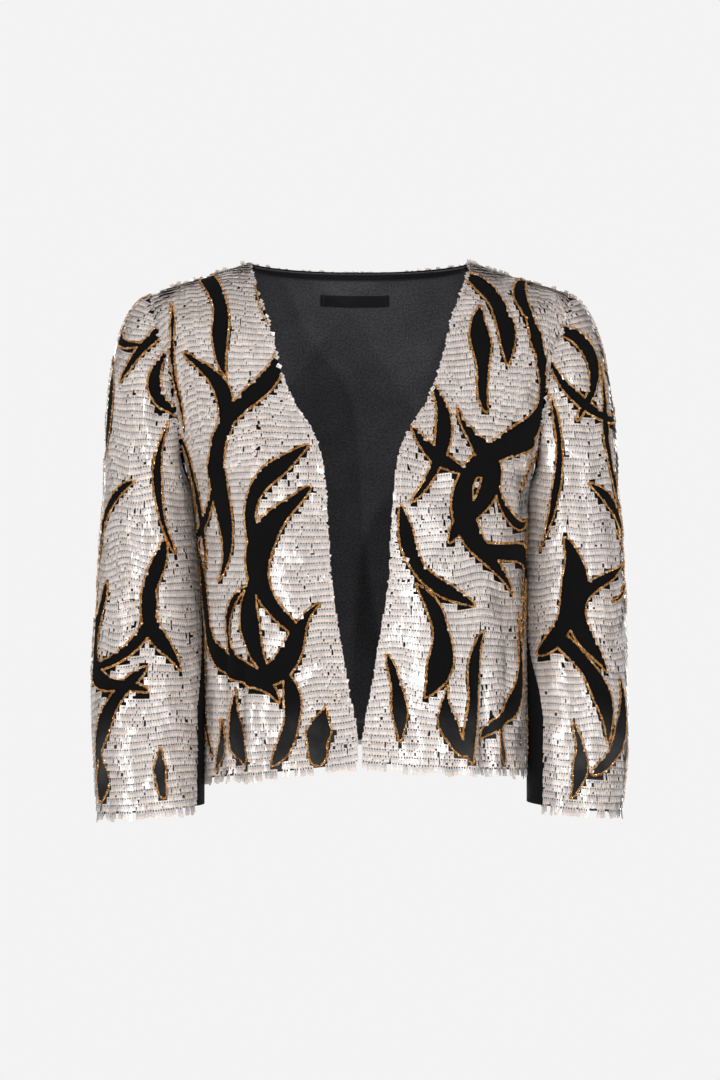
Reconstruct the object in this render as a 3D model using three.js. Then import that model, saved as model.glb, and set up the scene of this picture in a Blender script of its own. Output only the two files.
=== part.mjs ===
// Cropped, collarless evening blazer with an open front and three-quarter sleeves, in its worn, hollow form.
// Millimetres. +X is the wearer's left, +Y the back, +Z up. The origin lies midway between the two points
// where the shoulder seams meet the neckline, which is where the wearer's shoulders carry the garment.
import * as THREE from "three";

// Driving dimensions
const NECK_HALF = 102; // half the neckline, at the shoulder seams
const SHOULDER_SLOPE = 0.32; // fall of the shoulder seam for each millimetre outwards
const SHOULDER_HALF = 194; // half the width across the shoulders
const BACK_NECK_DROP = 5; // the neckline at the centre back, below the shoulder seams' inner ends
const UNDERARM_Z = -190;
const BICEPS_Z = -215;
const FRONT_HEM_Z = -457; // at the centre front
const SIDE_HEM_Z = { right: -480, left: -471 };
const BACK_HEM_Z = -450;
const LOWEST_HEM_Z = -472; // what the rows of points are spaced for
const SLEEVE_HEM_Z = -506;
const FRONT_ROOF = 75; // height over which the front rounds off below the shoulder seam
const BACK_ROOF = 85;
const FRONT_ROUND = 2.3; // exponents of the superellipse sections
const BACK_ROUND = 2.5;
const SEQUIN_CLOTH = 2; // wall of the sequinned cloth, sequins and all
const PLAIN_CLOTH = 1.4; // wall of the plain cloth under the arms
const LINING = 1;
const SEAM = 0.2; // what each piece stops short of a seam's line
const FRONT_SEAM_HIGH = 0.97; // the turn of a sleeve's front seam at the armhole
const SLEEVE_SEAM = 0.75; // the same for a sleeve at its armhole, where the cloth turns sharply
const LAYER_GAP = 0.8; // between the cloth and what lies on its inside
const BINDING_WIDTH = 7.5;
const LABEL = { width: 65, height: 12, x: -5, drop: 24 };

const RIGHT = -1; // the wearer's right, at -X
const LEFT = 1;
const sideHem = (side) => (side < 0 ? SIDE_HEM_Z.right : SIDE_HEM_Z.left);

// Sections of the body. halfWidth is where the full section would reach, armhole is the armhole's seam,
// and shift moves the section sideways.
const BODY = table(
  ["z", "halfWidth", "frontDepth", "backDepth", "armhole", "shift"],
  [
    [40, 262, 66, 56, 194, 0],
    [0, 244, 72, 62, 194, 0],
    [-30, 225, 77, 68, 194, 0],
    [-60, 204, 84, 77, 186, 0],
    [-95, 192, 94, 89, 176, 0],
    [-135, 182, 105, 99, 169, 0],
    [-165, 173, 114, 104, 165, 0],
    [-190, 162.5, 119, 105, 162.5, 0],
    [-225, 155.5, 121, 104, 155.5, 1],
    [-300, 151.5, 118, 99, 151.5, 3],
    [-380, 150, 114, 97, 150, 5],
    [-480, 151, 112, 100, 151, 5],
  ],
);

// The front edge, measured from the middle of the garment.
const FRONT_EDGE = table(
  ["z", "x"],
  [
    [40, 108],
    [0, NECK_HALF],
    [-25, 95.5],
    [-60, 83],
    [-100, 73.5],
    [-135, 59.5],
    [-160, 43.5],
    [-190, 33.8],
    [-240, 29.5],
    [-300, 25.5],
    [-355, 17],
    [-395, 10],
    [-430, 3.6],
    [-480, 2.2],
  ],
);

// Sections of the sleeves below the armholes: the centre's distance from the middle, its depth, the radii, and
// how much further the inner side reaches, towards the body.
const SLEEVE_COLUMNS = ["z", "centre", "depth", "wide", "deep", "inner"];
const RIGHT_SLEEVE = table(SLEEVE_COLUMNS, [
  [-180, 198.5, -2, 39.5, 54, 0.8],
  [-215, 198, -3, 40.2, 54, 1.1],
  [-250, 197.4, -6, 43.9, 53, 1.2],
  [-300, 197, -10, 47.3, 51, 1.3],
  [-350, 197.4, -14, 49.8, 49, 1.8],
  [-400, 197.8, -17, 51.5, 48, 1.8],
  [-450, 197.3, -19, 50.6, 47, 1.8],
  [-515, 195.2, -20, 48.3, 46, 1.8],
]);
const LEFT_SLEEVE = table(SLEEVE_COLUMNS, [
  [-180, 199, 1, 39.5, 54, 0.8],
  [-215, 200, 1, 40.8, 54, 1.2],
  [-250, 201, 2, 43.8, 53, 1.1],
  [-300, 201.7, 4, 45.8, 51, 0.7],
  [-350, 202.5, 6, 46.4, 50, 0.5],
  [-400, 203.2, 7, 46.9, 49, 0.3],
  [-450, 203.5, 8, 46.7, 49, 0.2],
  [-515, 200.7, 8, 43.6, 49, 0.2],
]);

// Folds. A negative push is a trough. at is the angle round the section in degrees, from the middle of the
// front or back towards the side, at the fold's top and bottom; width is an angle too; reach fades its ends.
const FOLD_COLUMNS = ["top", "bottom", "atTop", "atBottom", "width", "push", "reach"];
const RIGHT_FRONT_FOLDS = rows(FOLD_COLUMNS, [
  [-60, -150, 42, 36, 7, -3.5, 30],
  [-105, -240, 24, 21, 4.5, -4.5, 35],
  [-330, -500, 46, 49, 3.6, -5.5, 60],
  [-350, -500, 40, 41, 4.5, 3.5, 60],
  [-300, -500, 58, 60, 3.4, -4.5, 70],
  [-380, -500, 26, 24, 6, 2.5, 60],
]);
const LEFT_FRONT_FOLDS = rows(FOLD_COLUMNS, [
  [-70, -170, 38, 34, 7, -3, 30],
  [-140, -235, 28, 43, 5, -5, 30],
  [-120, -215, 20, 33, 5.5, 3, 30],
  [-330, -500, 42, 45, 3.8, -5.5, 60],
  [-360, -500, 36, 38, 4.5, 3.5, 50],
  [-300, -500, 61, 58, 4, -4, 70],
  [-390, -500, 17, 16, 6, -2.5, 50],
]);
const BACK_FOLDS = rows(FOLD_COLUMNS, [
  [-260, -500, -52, -55, 4.5, -5, 80],
  [-300, -500, -40, -37, 5, 3, 80],
  [-240, -500, 50, 53, 4.5, -5, 80],
  [-330, -500, 36, 33, 5.5, 3, 80],
  [-330, -500, -8, -10, 6, -3, 70],
  [-80, -170, -44, -36, 6, -3.5, 35],
  [-80, -170, 45, 38, 6, -3.5, 35],
]);
// On the sleeves the angle runs from the outside, to the front where it is positive.
const SLEEVE_FOLDS = rows(FOLD_COLUMNS, [
  [-60, -165, 78, 100, 9, -4.5, 30],
  [-70, -150, 52, 62, 10, 2.5, 30],
  [-190, -330, 96, 84, 9, -2.5, 50],
  [-330, -420, -60, -96, 12, -3.5, 40],
  [-290, -350, -120, -80, 10, -3, 30],
  [-70, -170, -80, -104, 9, -4, 30],
]);

// Mesh counts
const ROOF_ROWS = 5;
const FRONT_COLUMNS = 20;
const SHOULDER_COLUMNS = 7;
const NECK_COLUMNS = 12;
const CAP_ROWS = 7;
const TUBE_ROWS = 12;

function rows(columns, values) {
  return values.map((row) => Object.fromEntries(columns.map((name, i) => [name, row[i]])));
}

// A smooth curve through each column, read at any height.
function table(columns, values) {
  const list = rows(columns, values);
  const slope = (name, i) => {
    const a = list[Math.max(i - 1, 0)];
    const b = list[Math.min(i + 1, list.length - 1)];
    return (b[name] - a[name]) / (b.z - a.z);
  };
  return (z, name) => {
    let i = 0;
    while (i < list.length - 2 && z < list[i + 1].z) i++;
    const [a, b] = [list[i], list[i + 1]];
    const span = b.z - a.z;
    const t = clamp((z - a.z) / span, 0, 1);
    const [t2, t3] = [t * t, t * t * t];
    return (
      a[name] * (2 * t3 - 3 * t2 + 1) +
      b[name] * (3 * t2 - 2 * t3) +
      slope(name, i) * span * (t3 - 2 * t2 + t) +
      slope(name, i + 1) * span * (t3 - t2)
    );
  };
}

function clamp(x, low, high) {
  return Math.min(Math.max(x, low), high);
}

function mix(a, b, t) {
  return a + (b - a) * t;
}

function smooth(t) {
  const c = clamp(t, 0, 1);
  return c * c * (3 - 2 * c);
}

function degrees(radians) {
  return (radians * 180) / Math.PI;
}

// How far the folds push a point out, at an angle in degrees and a height.
function foldPush(folds, angle, z) {
  let push = 0;
  for (const f of folds) {
    const t = clamp((f.top - z) / (f.top - f.bottom), 0, 1);
    const off = (angle - mix(f.atTop, f.atBottom, t)) / f.width;
    const window = smooth((f.top - z) / f.reach) * smooth((z - f.bottom) / f.reach);
    push += f.push * window * Math.exp(-off * off);
  }
  return push;
}

// The height of the shoulder seam's line, carried on over the neck.
function shoulderZ(x) {
  const soft = 30;
  const past = Math.hypot(x, soft) * (NECK_HALF / Math.hypot(NECK_HALF, soft));
  return SHOULDER_SLOPE * (NECK_HALF - (Math.abs(x) < NECK_HALF ? past : Math.abs(x)));
}

const ROUND = { front: FRONT_ROUND, back: BACK_ROUND };
const ROOF = { front: FRONT_ROOF, back: BACK_ROOF };
const FACING = { front: -1, back: 1 };

// The angle round a section, from its middle, at a distance x to the side of it.
function angleAt(face, x, z) {
  return Math.sign(x) * Math.asin(Math.min(1, Math.abs(x / BODY(z, "halfWidth")) ** (ROUND[face] / 2)));
}

// A point of the body's form: the face, the angle from its middle, signed by side, and the height.
function bodyPoint(face, angle, z) {
  const n = ROUND[face];
  const x = BODY(z, "halfWidth") * Math.abs(Math.sin(angle)) ** (2 / n) * Math.sign(angle);
  const full = BODY(z, face + "Depth") * Math.max(0, Math.cos(angle)) ** (2 / n);
  const below = clamp((shoulderZ(x) - z) / ROOF[face], 0, 1);
  const round = Math.sqrt(1 - (1 - below) ** 2);
  return new THREE.Vector3(x + BODY(z, "shift"), FACING[face] * full * round, z);
}

// The angle of the side seam, or of the armhole above it, less the seam's gap.
function sideAngle(face, z) {
  const side = Math.acos((SEAM / BODY(z, face + "Depth")) ** (ROUND[face] / 2));
  return z > UNDERARM_Z ? Math.min(side, angleAt(face, BODY(z, "armhole") - SEAM, z)) : side;
}

// Heights down a column: close together over the shoulder and at the underarm.
function columnHeights(top, roof, hem, from) {
  const list = [];
  for (let i = 0; i <= ROOF_ROWS; i++) {
    list.push(top - roof * (1 - Math.cos(mix(from, Math.PI / 2, i / ROOF_ROWS))));
  }
  const start = list[list.length - 1];
  const sideStart = shoulderZ(SHOULDER_HALF) - roof;
  for (const z of [-125, -145, -162, -176, -185, -190, -196, -210, -228, -250, -275, -300, -325, -350, -375, -400, -422, -440, -456]) {
    list.push(mix(start, hem, (sideStart - z) / (sideStart - LOWEST_HEM_Z)));
  }
  list.push(hem);
  return list;
}

// The top of the column that runs at a share u of the way to the side, where the form meets the shoulder seam.
function seamX(face, u, edge) {
  let x = mix(NECK_HALF, SHOULDER_HALF, u);
  for (let i = 0; i < 12; i++) {
    const z = shoulderZ(x);
    const angle = mix(edge(z), sideAngle(face, z), u);
    x = BODY(z, "halfWidth") * Math.sin(angle) ** (2 / ROUND[face]);
  }
  return x;
}

function frontEdgeAngle(side, z) {
  return angleAt("front", FRONT_EDGE(z, "x") - side * BODY(z, "shift"), z);
}

// Small enough a turn of the roof that the piece stops a seam's gap short of the shoulder seam.
function seamTurn(face, x, z) {
  return Math.asin(SEAM / (BODY(z, face + "Depth") * Math.cos(angleAt(face, Math.abs(x), z)) ** (2 / ROUND[face])));
}

function frontSheet(side, folds) {
  const edge = (z) => frontEdgeAngle(side, z);
  const columns = [];
  for (let i = 0; i <= FRONT_COLUMNS; i++) {
    const u = i / FRONT_COLUMNS;
    const x = seamX("front", u, edge);
    const top = shoulderZ(x);
    const hem = mix(FRONT_HEM_Z, sideHem(side), u ** 0.7);
    columns.push(
      columnHeights(top, FRONT_ROOF, hem, seamTurn("front", x, top)).map((z) => {
        const angle = mix(edge(z), sideAngle("front", z), u);
        return { angle: side * angle, z, fold: foldPush(folds, degrees(angle), z) };
      }),
    );
  }
  return formed("front", columns);
}

// The neckline across the back.
function neckZ(x) {
  return -BACK_NECK_DROP * (1 - (Math.abs(x) / NECK_HALF) ** 2.7);
}

// The share of the way to the side where the back's shoulder seam ends at the neckline.
function neckShare() {
  let [low, high] = [0.2, 0.9];
  for (let i = 0; i < 40; i++) {
    const middle = (low + high) / 2;
    if (seamX("back", middle, () => 0) < NECK_HALF) low = middle;
    else high = middle;
  }
  return low;
}

function backShares() {
  const neck = neckShare();
  const list = [];
  for (let i = -SHOULDER_COLUMNS; i < 0; i++) list.push(-mix(neck, 1, -i / SHOULDER_COLUMNS));
  for (let i = 0; i <= NECK_COLUMNS; i++) list.push(neck * Math.sin(Math.PI * (i / NECK_COLUMNS - 0.5)));
  for (let i = 1; i <= SHOULDER_COLUMNS; i++) list.push(mix(neck, 1, i / SHOULDER_COLUMNS));
  return list;
}

// One column of the back, at a signed share of the way to the side.
function backColumn(u, folds) {
  const x = seamX("back", Math.abs(u), () => 0);
  const top = shoulderZ(x);
  const below = x < NECK_HALF - 0.5 ? top - neckZ(x) : 0;
  const from = Math.max(seamTurn("back", x, top), Math.acos(clamp(1 - below / BACK_ROOF, 0, 1)));
  const hem = mix(BACK_HEM_Z, sideHem(u), smooth(Math.abs(u)));
  return columnHeights(top, BACK_ROOF, hem, from).map((z) => {
    const angle = u * sideAngle("back", z);
    return { angle, z, fold: foldPush(folds, degrees(angle), z) };
  });
}

// A sheet of cloth is a grid of points with the way out at each. This one is on the body's form, with its folds.
function formed(face, columns) {
  const plain = columns.map((column) => column.map((p) => bodyPoint(face, p.angle, p.z)));
  const out = normals(plain, bodyCore);
  const points = plain.map((column, i) => column.map((p, j) => p.clone().addScaledVector(out[i][j], columns[i][j].fold)));
  return { points, out: normals(points, bodyCore) };
}

function bodyCore(p) {
  return new THREE.Vector3(0, 0, Math.min(p.z, -60));
}

// Unit normals of a grid of points, pointing away from the core.
function normals(grid, core) {
  const at = (i, j) => grid[clamp(i, 0, grid.length - 1)][clamp(j, 0, grid[0].length - 1)];
  const list = grid.map((column, i) =>
    column.map((_, j) => {
      const across = at(i + 1, j).clone().sub(at(i - 1, j));
      const down = at(i, j + 1).clone().sub(at(i, j - 1));
      return across.cross(down).normalize();
    }),
  );
  let sum = 0;
  grid.forEach((column, i) => column.forEach((p, j) => (sum += list[i][j].dot(p.clone().sub(core(p))))));
  if (sum < 0) list.forEach((column) => column.forEach((n) => n.negate()));
  if (core === bodyCore) squareToSeams(grid, list);
  return list;
}

// The shoulder and side seams lie in the plane Y = 0, and the cloth of the body is square to it there.
function squareToSeams(grid, list) {
  grid.forEach((column, i) =>
    column.forEach((p, j) => {
      if (Math.abs(p.y) < 4 * SEAM) list[i][j].setY(0).normalize();
    }),
  );
}

function moved(sheet, distance) {
  const points = sheet.points.map((column, i) =>
    column.map((p, j) => p.clone().addScaledVector(sheet.out[i][j], distance)),
  );
  return { points, out: sheet.out };
}

// A part of a sheet, read at fractional columns and rows, so that it lies along the sheet it is taken from.
function patch(sheet, columns, lines) {
  const read = (grid, i, j) => {
    const [a, b] = [clamp(Math.floor(i), 0, grid.length - 2), clamp(Math.floor(j), 0, grid[0].length - 2)];
    const near = grid[a][b].clone().lerp(grid[a][b + 1], j - b);
    const far = grid[a + 1][b].clone().lerp(grid[a + 1][b + 1], j - b);
    return near.lerp(far, i - a);
  };
  const take = (grid) => columns.map((i) => lines.map((j) => read(grid, i, j)));
  return { points: take(sheet.points), out: take(sheet.out).map((column) => column.map((n) => n.normalize())) };
}

// A closed wall of cloth: the sheet is its outside, and the same points moved in are its inside.
function clothWall(sheet, thickness) {
  const outer = sheet.points;
  const inner = moved(sheet, -thickness).points;
  const [wide, tall] = [outer.length, outer[0].length];
  const positions = [...outer.flat(), ...inner.flat()].flatMap((p) => [p.x, p.y, p.z]);
  const id = (layer, i, j) => layer * wide * tall + i * tall + j;
  const faces = [];
  const quad = (a, b, c, d) => faces.push(a, b, c, a, c, d);
  for (let i = 0; i + 1 < wide; i++) {
    for (let j = 0; j + 1 < tall; j++) {
      quad(id(0, i, j), id(0, i + 1, j), id(0, i + 1, j + 1), id(0, i, j + 1));
      quad(id(1, i, j), id(1, i, j + 1), id(1, i + 1, j + 1), id(1, i + 1, j));
    }
  }
  for (let i = 0; i + 1 < wide; i++) {
    quad(id(0, i + 1, 0), id(0, i, 0), id(1, i, 0), id(1, i + 1, 0));
    quad(id(0, i, tall - 1), id(0, i + 1, tall - 1), id(1, i + 1, tall - 1), id(1, i, tall - 1));
  }
  for (let j = 0; j + 1 < tall; j++) {
    quad(id(0, 0, j), id(0, 0, j + 1), id(1, 0, j + 1), id(1, 0, j));
    quad(id(0, wide - 1, j + 1), id(0, wide - 1, j), id(1, wide - 1, j), id(1, wide - 1, j + 1));
  }
  const across = outer[1][0].clone().sub(outer[0][0]);
  const down = outer[0][1].clone().sub(outer[0][0]);
  if (across.cross(down).dot(sheet.out[0][0]) < 0) faces.reverse();
  const geometry = new THREE.BufferGeometry();
  geometry.setAttribute("position", new THREE.Float32BufferAttribute(positions, 3));
  geometry.setIndex(faces);
  geometry.computeVertexNormals();
  return geometry;
}

// The armhole's seam as a list of points from the shoulder's tip to the underarm, evenly spaced.
function armholePoints(face, side, count) {
  const fine = 200;
  const raw = [];
  const tip = shoulderZ(SHOULDER_HALF);
  for (let i = 0; i <= fine; i++) {
    const z = mix(tip, UNDERARM_Z, (1 - Math.cos((Math.PI * i) / fine)) / 2);
    const x = BODY(z, "armhole");
    const p = bodyPoint(face, side * angleAt(face, x, z), z);
    raw.push(i === 0 ? new THREE.Vector3(side * SHOULDER_HALF, 0, tip) : p);
  }
  const lengths = [0];
  for (let i = 1; i <= fine; i++) lengths.push(lengths[i - 1] + raw[i].distanceTo(raw[i - 1]));
  return (share) => {
    const wanted = clamp(share, 0, 1) * lengths[fine];
    let i = 0;
    while (i < fine - 1 && lengths[i + 1] < wanted) i++;
    return raw[i].clone().lerp(raw[i + 1], (wanted - lengths[i]) / (lengths[i + 1] - lengths[i]));
  };
}

// A sleeve's surface. turn runs from 0 at the outside to 1 or -1 at the underarm, by the front or the back.
function sleeveSurface(side, sections, puff) {
  const hole = { front: armholePoints("front", side), back: armholePoints("back", side) };
  const ring = (turn, z) => {
    const angle = Math.PI * turn;
    const wide = sections(z, "wide") + sections(z, "inner") * smooth(-Math.cos(angle));
    return new THREE.Vector3(
      side * (sections(z, "centre") + wide * Math.cos(angle)),
      sections(z, "depth") - sections(z, "deep") * Math.sin(angle),
      z,
    );
  };
  const cap = (turn, w) => {
    const angle = Math.PI * turn;
    const high = (1 + Math.cos(angle)) / 2;
    const seam = hole[turn >= 0 ? "front" : "back"](Math.abs(turn));
    seam.x += side * SLEEVE_SEAM;
    const leave = new THREE.Vector3(
      side * (0.55 + 0.4 * Math.cos(angle)),
      -0.6 * Math.sin(angle),
      -mix(1, 0.29, high),
    ).normalize();
    const biceps = ring(turn, BICEPS_Z);
    const a = seam.clone().addScaledVector(leave, mix(8, puff, high));
    const b = biceps.clone().setZ(BICEPS_Z + mix(8, 80, high ** 1.5));
    return new THREE.CubicBezierCurve3(seam, a, b, biceps).getPoint(w);
  };
  const hem = (turn) => SLEEVE_HEM_Z - 4 * Math.cos(Math.PI * turn);
  return { ring, cap, hem };
}

// The sheet between two seams, whose turns depend on the share of the way down from the biceps to the hem. It
// is worked out a column past each seam, so that the cloth is square to them.
function sleeveSheet(surface, side, sections, from, to, columns) {
  const core = (p) => new THREE.Vector3(side * sections(clamp(p.z, -515, -180), "centre"), 0, Math.min(p.z, -130));
  const plain = [];
  const turns = [];
  for (let i = -1; i <= columns + 1; i++) {
    const turnAt = (fall) => {
      const run = mix(from(fall), to(fall), i / columns);
      return run > 1 ? run - 2 : run;
    };
    const list = [];
    const listTurns = [];
    for (let k = -CAP_ROWS; k <= TUBE_ROWS; k++) {
      const fall = Math.max(k, 0) / TUBE_ROWS;
      const turn = turnAt(fall);
      listTurns.push(turn);
      if (k < 0) list.push(surface.cap(turn, ((k + CAP_ROWS) / CAP_ROWS) ** 1.25));
      else list.push(surface.ring(turn, mix(BICEPS_Z, surface.hem(turn), fall)));
    }
    plain.push(list);
    turns.push(listTurns);
  }
  const across = normals(plain, core);
  const folded = plain.map((column, i) =>
    column.map((p, j) => {
      const fade = smooth(j / 2);
      return p.clone().addScaledVector(across[i][j], fade * foldPush(SLEEVE_FOLDS, turns[i][j] * 180, p.z));
    }),
  );
  return { points: folded.slice(1, -1), out: normals(folded, core).slice(1, -1) };
}

function material(name, color, roughness, metalness = 0) {
  return new THREE.MeshStandardMaterial({ name, color, roughness, metalness });
}

const MATERIALS = {
  sequins: material("ivory sequins", "#cdc0b8", 0.3),
  plain: material("plain black cloth", "#141414", 0.8),
  lining: material("charcoal lining", "#2e2e30", 0.7),
  binding: material("black binding", "#101010", 0.6),
  label: material("woven label", "#1b1b1d", 0.5),
};

const blazer = new THREE.Group();

function add(name, geometry, finish) {
  const mesh = new THREE.Mesh(geometry, finish);
  mesh.name = name;
  blazer.add(mesh);
}

function addFronts() {
  add("front_right", clothWall(frontSheet(RIGHT, RIGHT_FRONT_FOLDS), SEQUIN_CLOTH), MATERIALS.sequins);
  add("front_left", clothWall(frontSheet(LEFT, LEFT_FRONT_FOLDS), SEQUIN_CLOTH), MATERIALS.sequins);
}

// The back and the layers on its inside, each moved in from the last.
function addBack() {
  const back = formed("back", backShares().map((u) => backColumn(u, BACK_FOLDS)));
  add("back", clothWall(back, SEQUIN_CLOTH), MATERIALS.sequins);

  const last = back.points.length - 1;
  const tall = back.points[0].length;
  const inside = moved(back, -SEQUIN_CLOTH - LAYER_GAP);
  const range = (from, to, steps) => Array.from({ length: steps + 1 }, (_, i) => mix(from, to, i / steps));
  const lining = patch(inside, within(0.35, last - 0.35), within(0.03, tall - 2));
  add("lining_back", clothWall(lining, LINING), MATERIALS.lining);

  const onLining = moved(inside, -LINING - LAYER_GAP);
  const row = (i, distance) => distanceRow(onLining.points[i], distance);
  const strip = (columns, drops) => {
    const found = columns.map((i) => patch(onLining, [i], drops.map((d) => row(Math.round(i), d))));
    return { points: found.map((f) => f.points[0]), out: found.map((f) => f.out[0]) };
  };
  const neck = [SHOULDER_COLUMNS, SHOULDER_COLUMNS + NECK_COLUMNS];
  const binding = strip(range(neck[0], neck[1], NECK_COLUMNS), [0.3, BINDING_WIDTH]);
  add("neck_binding", clothWall(binding, LINING), MATERIALS.binding);

  const columnOf = (x) => NECK_COLUMNS * (Math.asin(x / NECK_HALF) / Math.PI + 0.5) + SHOULDER_COLUMNS;
  const ends = [LABEL.x - LABEL.width / 2, LABEL.x + LABEL.width / 2].map(columnOf);
  const label = strip(range(ends[0], ends[1], 6), [LABEL.drop, LABEL.drop + LABEL.height / 2, LABEL.drop + LABEL.height]);
  add("label", clothWall(label, LINING), MATERIALS.label);
}

// The two ends and every whole number between them.
function within(from, to) {
  const list = [from];
  for (let i = Math.floor(from) + 1; i < to; i++) list.push(i);
  return [...list, to];
}

// The fractional row at a distance along a column from its top.
function distanceRow(column, distance) {
  let left = distance;
  for (let j = 0; j + 1 < column.length; j++) {
    const step = column[j].distanceTo(column[j + 1]);
    if (left <= step) return j + left / step;
    left -= step;
  }
  return column.length - 1;
}

// Each sleeve is a sequinned top sleeve and a plain under sleeve. The seams are given as turns, and puff is how
// far the cap carries on the shoulder's line. The front seam starts near the underarm and comes forward to its
// turn at the hem.
function addSleeve(name, side, sections, puff, frontAtHem, backSeam) {
  const surface = sleeveSurface(side, sections, puff);
  const gap = SEAM / 150;
  const front = (fall) => mix(FRONT_SEAM_HIGH, frontAtHem, smooth((fall - 0.36) / 0.36));
  const top = sleeveSheet(surface, side, sections, () => -backSeam + gap, (fall) => front(fall) - gap, 18);
  const under = sleeveSheet(surface, side, sections, (fall) => front(fall) + gap, () => 2 - backSeam - gap, 6);
  add(`sleeve_${name}_top`, clothWall(top, SEQUIN_CLOTH), MATERIALS.sequins);
  add(`sleeve_${name}_under`, clothWall(under, PLAIN_CLOTH), MATERIALS.plain);
}

addFronts();
addBack();
addSleeve("right", RIGHT, RIGHT_SLEEVE, 40, 0.86, 0.74);
addSleeve("left", LEFT, LEFT_SLEEVE, 33, 0.76, 0.74);

export default blazer;
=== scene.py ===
"""The looks of a cropped, collarless evening blazer with an open front and three-quarter sleeves.

Rows of small hanging sequins cover black cloth, and curved tongues of the cloth stay bare, with a chain of
gold ring sequins round each. Lengths are in millimetres until a mesh is made, which is in metres. +X is the
wearer's left, +Y the back and +Z up, and the origin lies midway between the inner ends of the shoulder seams.
"""
import functools
import math

import bpy
import numpy as np
from bpy.props import FloatProperty, FloatVectorProperty, IntProperty, PointerProperty
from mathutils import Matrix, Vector


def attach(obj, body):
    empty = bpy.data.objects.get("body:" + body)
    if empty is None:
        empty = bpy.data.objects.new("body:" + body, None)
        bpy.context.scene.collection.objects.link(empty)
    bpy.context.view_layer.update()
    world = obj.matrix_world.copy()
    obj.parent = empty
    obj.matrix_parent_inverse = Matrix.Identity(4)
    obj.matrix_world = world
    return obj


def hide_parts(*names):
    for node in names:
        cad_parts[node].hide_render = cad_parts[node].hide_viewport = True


bl_info = {
    "name": "Sequin Blazer",
    "version": (1, 0, 0),
    "blender": (4, 5, 0),
    "location": "3D View > Sidebar > Blazer",
    "description": "Builds a cropped evening blazer of sequinned cloth, with its stage",
    "category": "Object",
}

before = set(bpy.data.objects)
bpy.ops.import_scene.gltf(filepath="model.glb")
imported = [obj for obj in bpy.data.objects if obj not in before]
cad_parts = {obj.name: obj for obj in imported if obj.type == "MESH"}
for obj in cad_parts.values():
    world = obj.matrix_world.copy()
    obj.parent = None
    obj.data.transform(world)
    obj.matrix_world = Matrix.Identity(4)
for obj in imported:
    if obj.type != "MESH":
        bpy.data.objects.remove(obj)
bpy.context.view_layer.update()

MM = 0.001

RIGHT, LEFT = -1, 1
SIDES = {"right": RIGHT, "left": LEFT}

# The cut. Heights are negative below the origin, and widths are from the middle.
NECK_HALF = 102
SHOULDER_HALF = 194
SHOULDER_SLOPE = 0.32  # fall over width
NECK_SOFTNESS = 30  # how far from the middle the line of the shoulders is rounded off
BACK_NECK_DROP = 5
UNDERARM_Z = -190
BICEPS_Z = -215
HALF_GIRTH = 150  # about half of a sleeve's length round the arm
FRONT_HEM_Z = -457
SIDE_HEM_Z = {RIGHT: -480, LEFT: -471}
BACK_HEM_Z = -450
SLEEVE_HEM_Z = -506
ROOF = {"front": 75, "back": 85}  # how far below their line the shoulders close the form over
ROUND = {"front": 2.3, "back": 2.5}  # the power of the superellipses
FACING = {"front": -1, "back": 1}
SEAM = 0.2  # from the middle of a shoulder or side seam to the cloth
SLEEVE_SEAM = 0.75  # from the armhole's seam to the sleeve
WALL = 2.0  # of the sequinned cloth, from the lining side of the cloth to the sequins
CLOTH = 0.7  # the black cloth by itself
PLAIN_WALL = 1.4  # the plain under sleeves
LINING = 1.0
BINDING = 0.7
LABEL_CLOTH = 0.5
LAYER_GAP = 0.8  # between the layers inside the back
BINDING_WIDTH = 7.5
BINDING_TOP = 0.3  # below the back's own top edge
LINING_TOP = 0.4
LINING_SHORT = 16  # from the back's hem up to the lining's
LABEL = {"width": 65, "height": 12, "x": -5, "drop": 24}

# A panel's flat coordinates say how far across and how far down a point is. Down equals the depth below the
# origin at the level, and comes to the second number at the hem.
BODY_FLAT = {"level": 250, "hem": 470}
SLEEVE_FLAT = {"level": 300, "hem": 506}


class Table:
    """A smooth curve through each named column of a short table, read at any height."""

    def __init__(self, names, rows):
        cells = np.array(rows, float)
        self.z = cells[:, 0]
        self.columns = {name: cells[:, i] for i, name in enumerate(names)}

    def __call__(self, z, name):
        z, knots, values = np.asarray(z, float), self.z, self.columns[name]
        i = np.clip(np.searchsorted(-knots, -z, side="left") - 1, 0, len(knots) - 2)
        order = np.arange(len(knots))
        before, after = np.maximum(order - 1, 0), np.minimum(order + 1, len(knots) - 1)
        slopes = (values[after] - values[before]) / (knots[after] - knots[before])
        span = knots[i + 1] - knots[i]
        t = np.clip((z - knots[i]) / span, 0, 1)
        return (
            values[i] * (2 * t**3 - 3 * t**2 + 1)
            + values[i + 1] * (3 * t**2 - 2 * t**3)
            + slopes[i] * span * (t**3 - 2 * t**2 + t)
            + slopes[i + 1] * span * (t**3 - t**2)
        )


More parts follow.
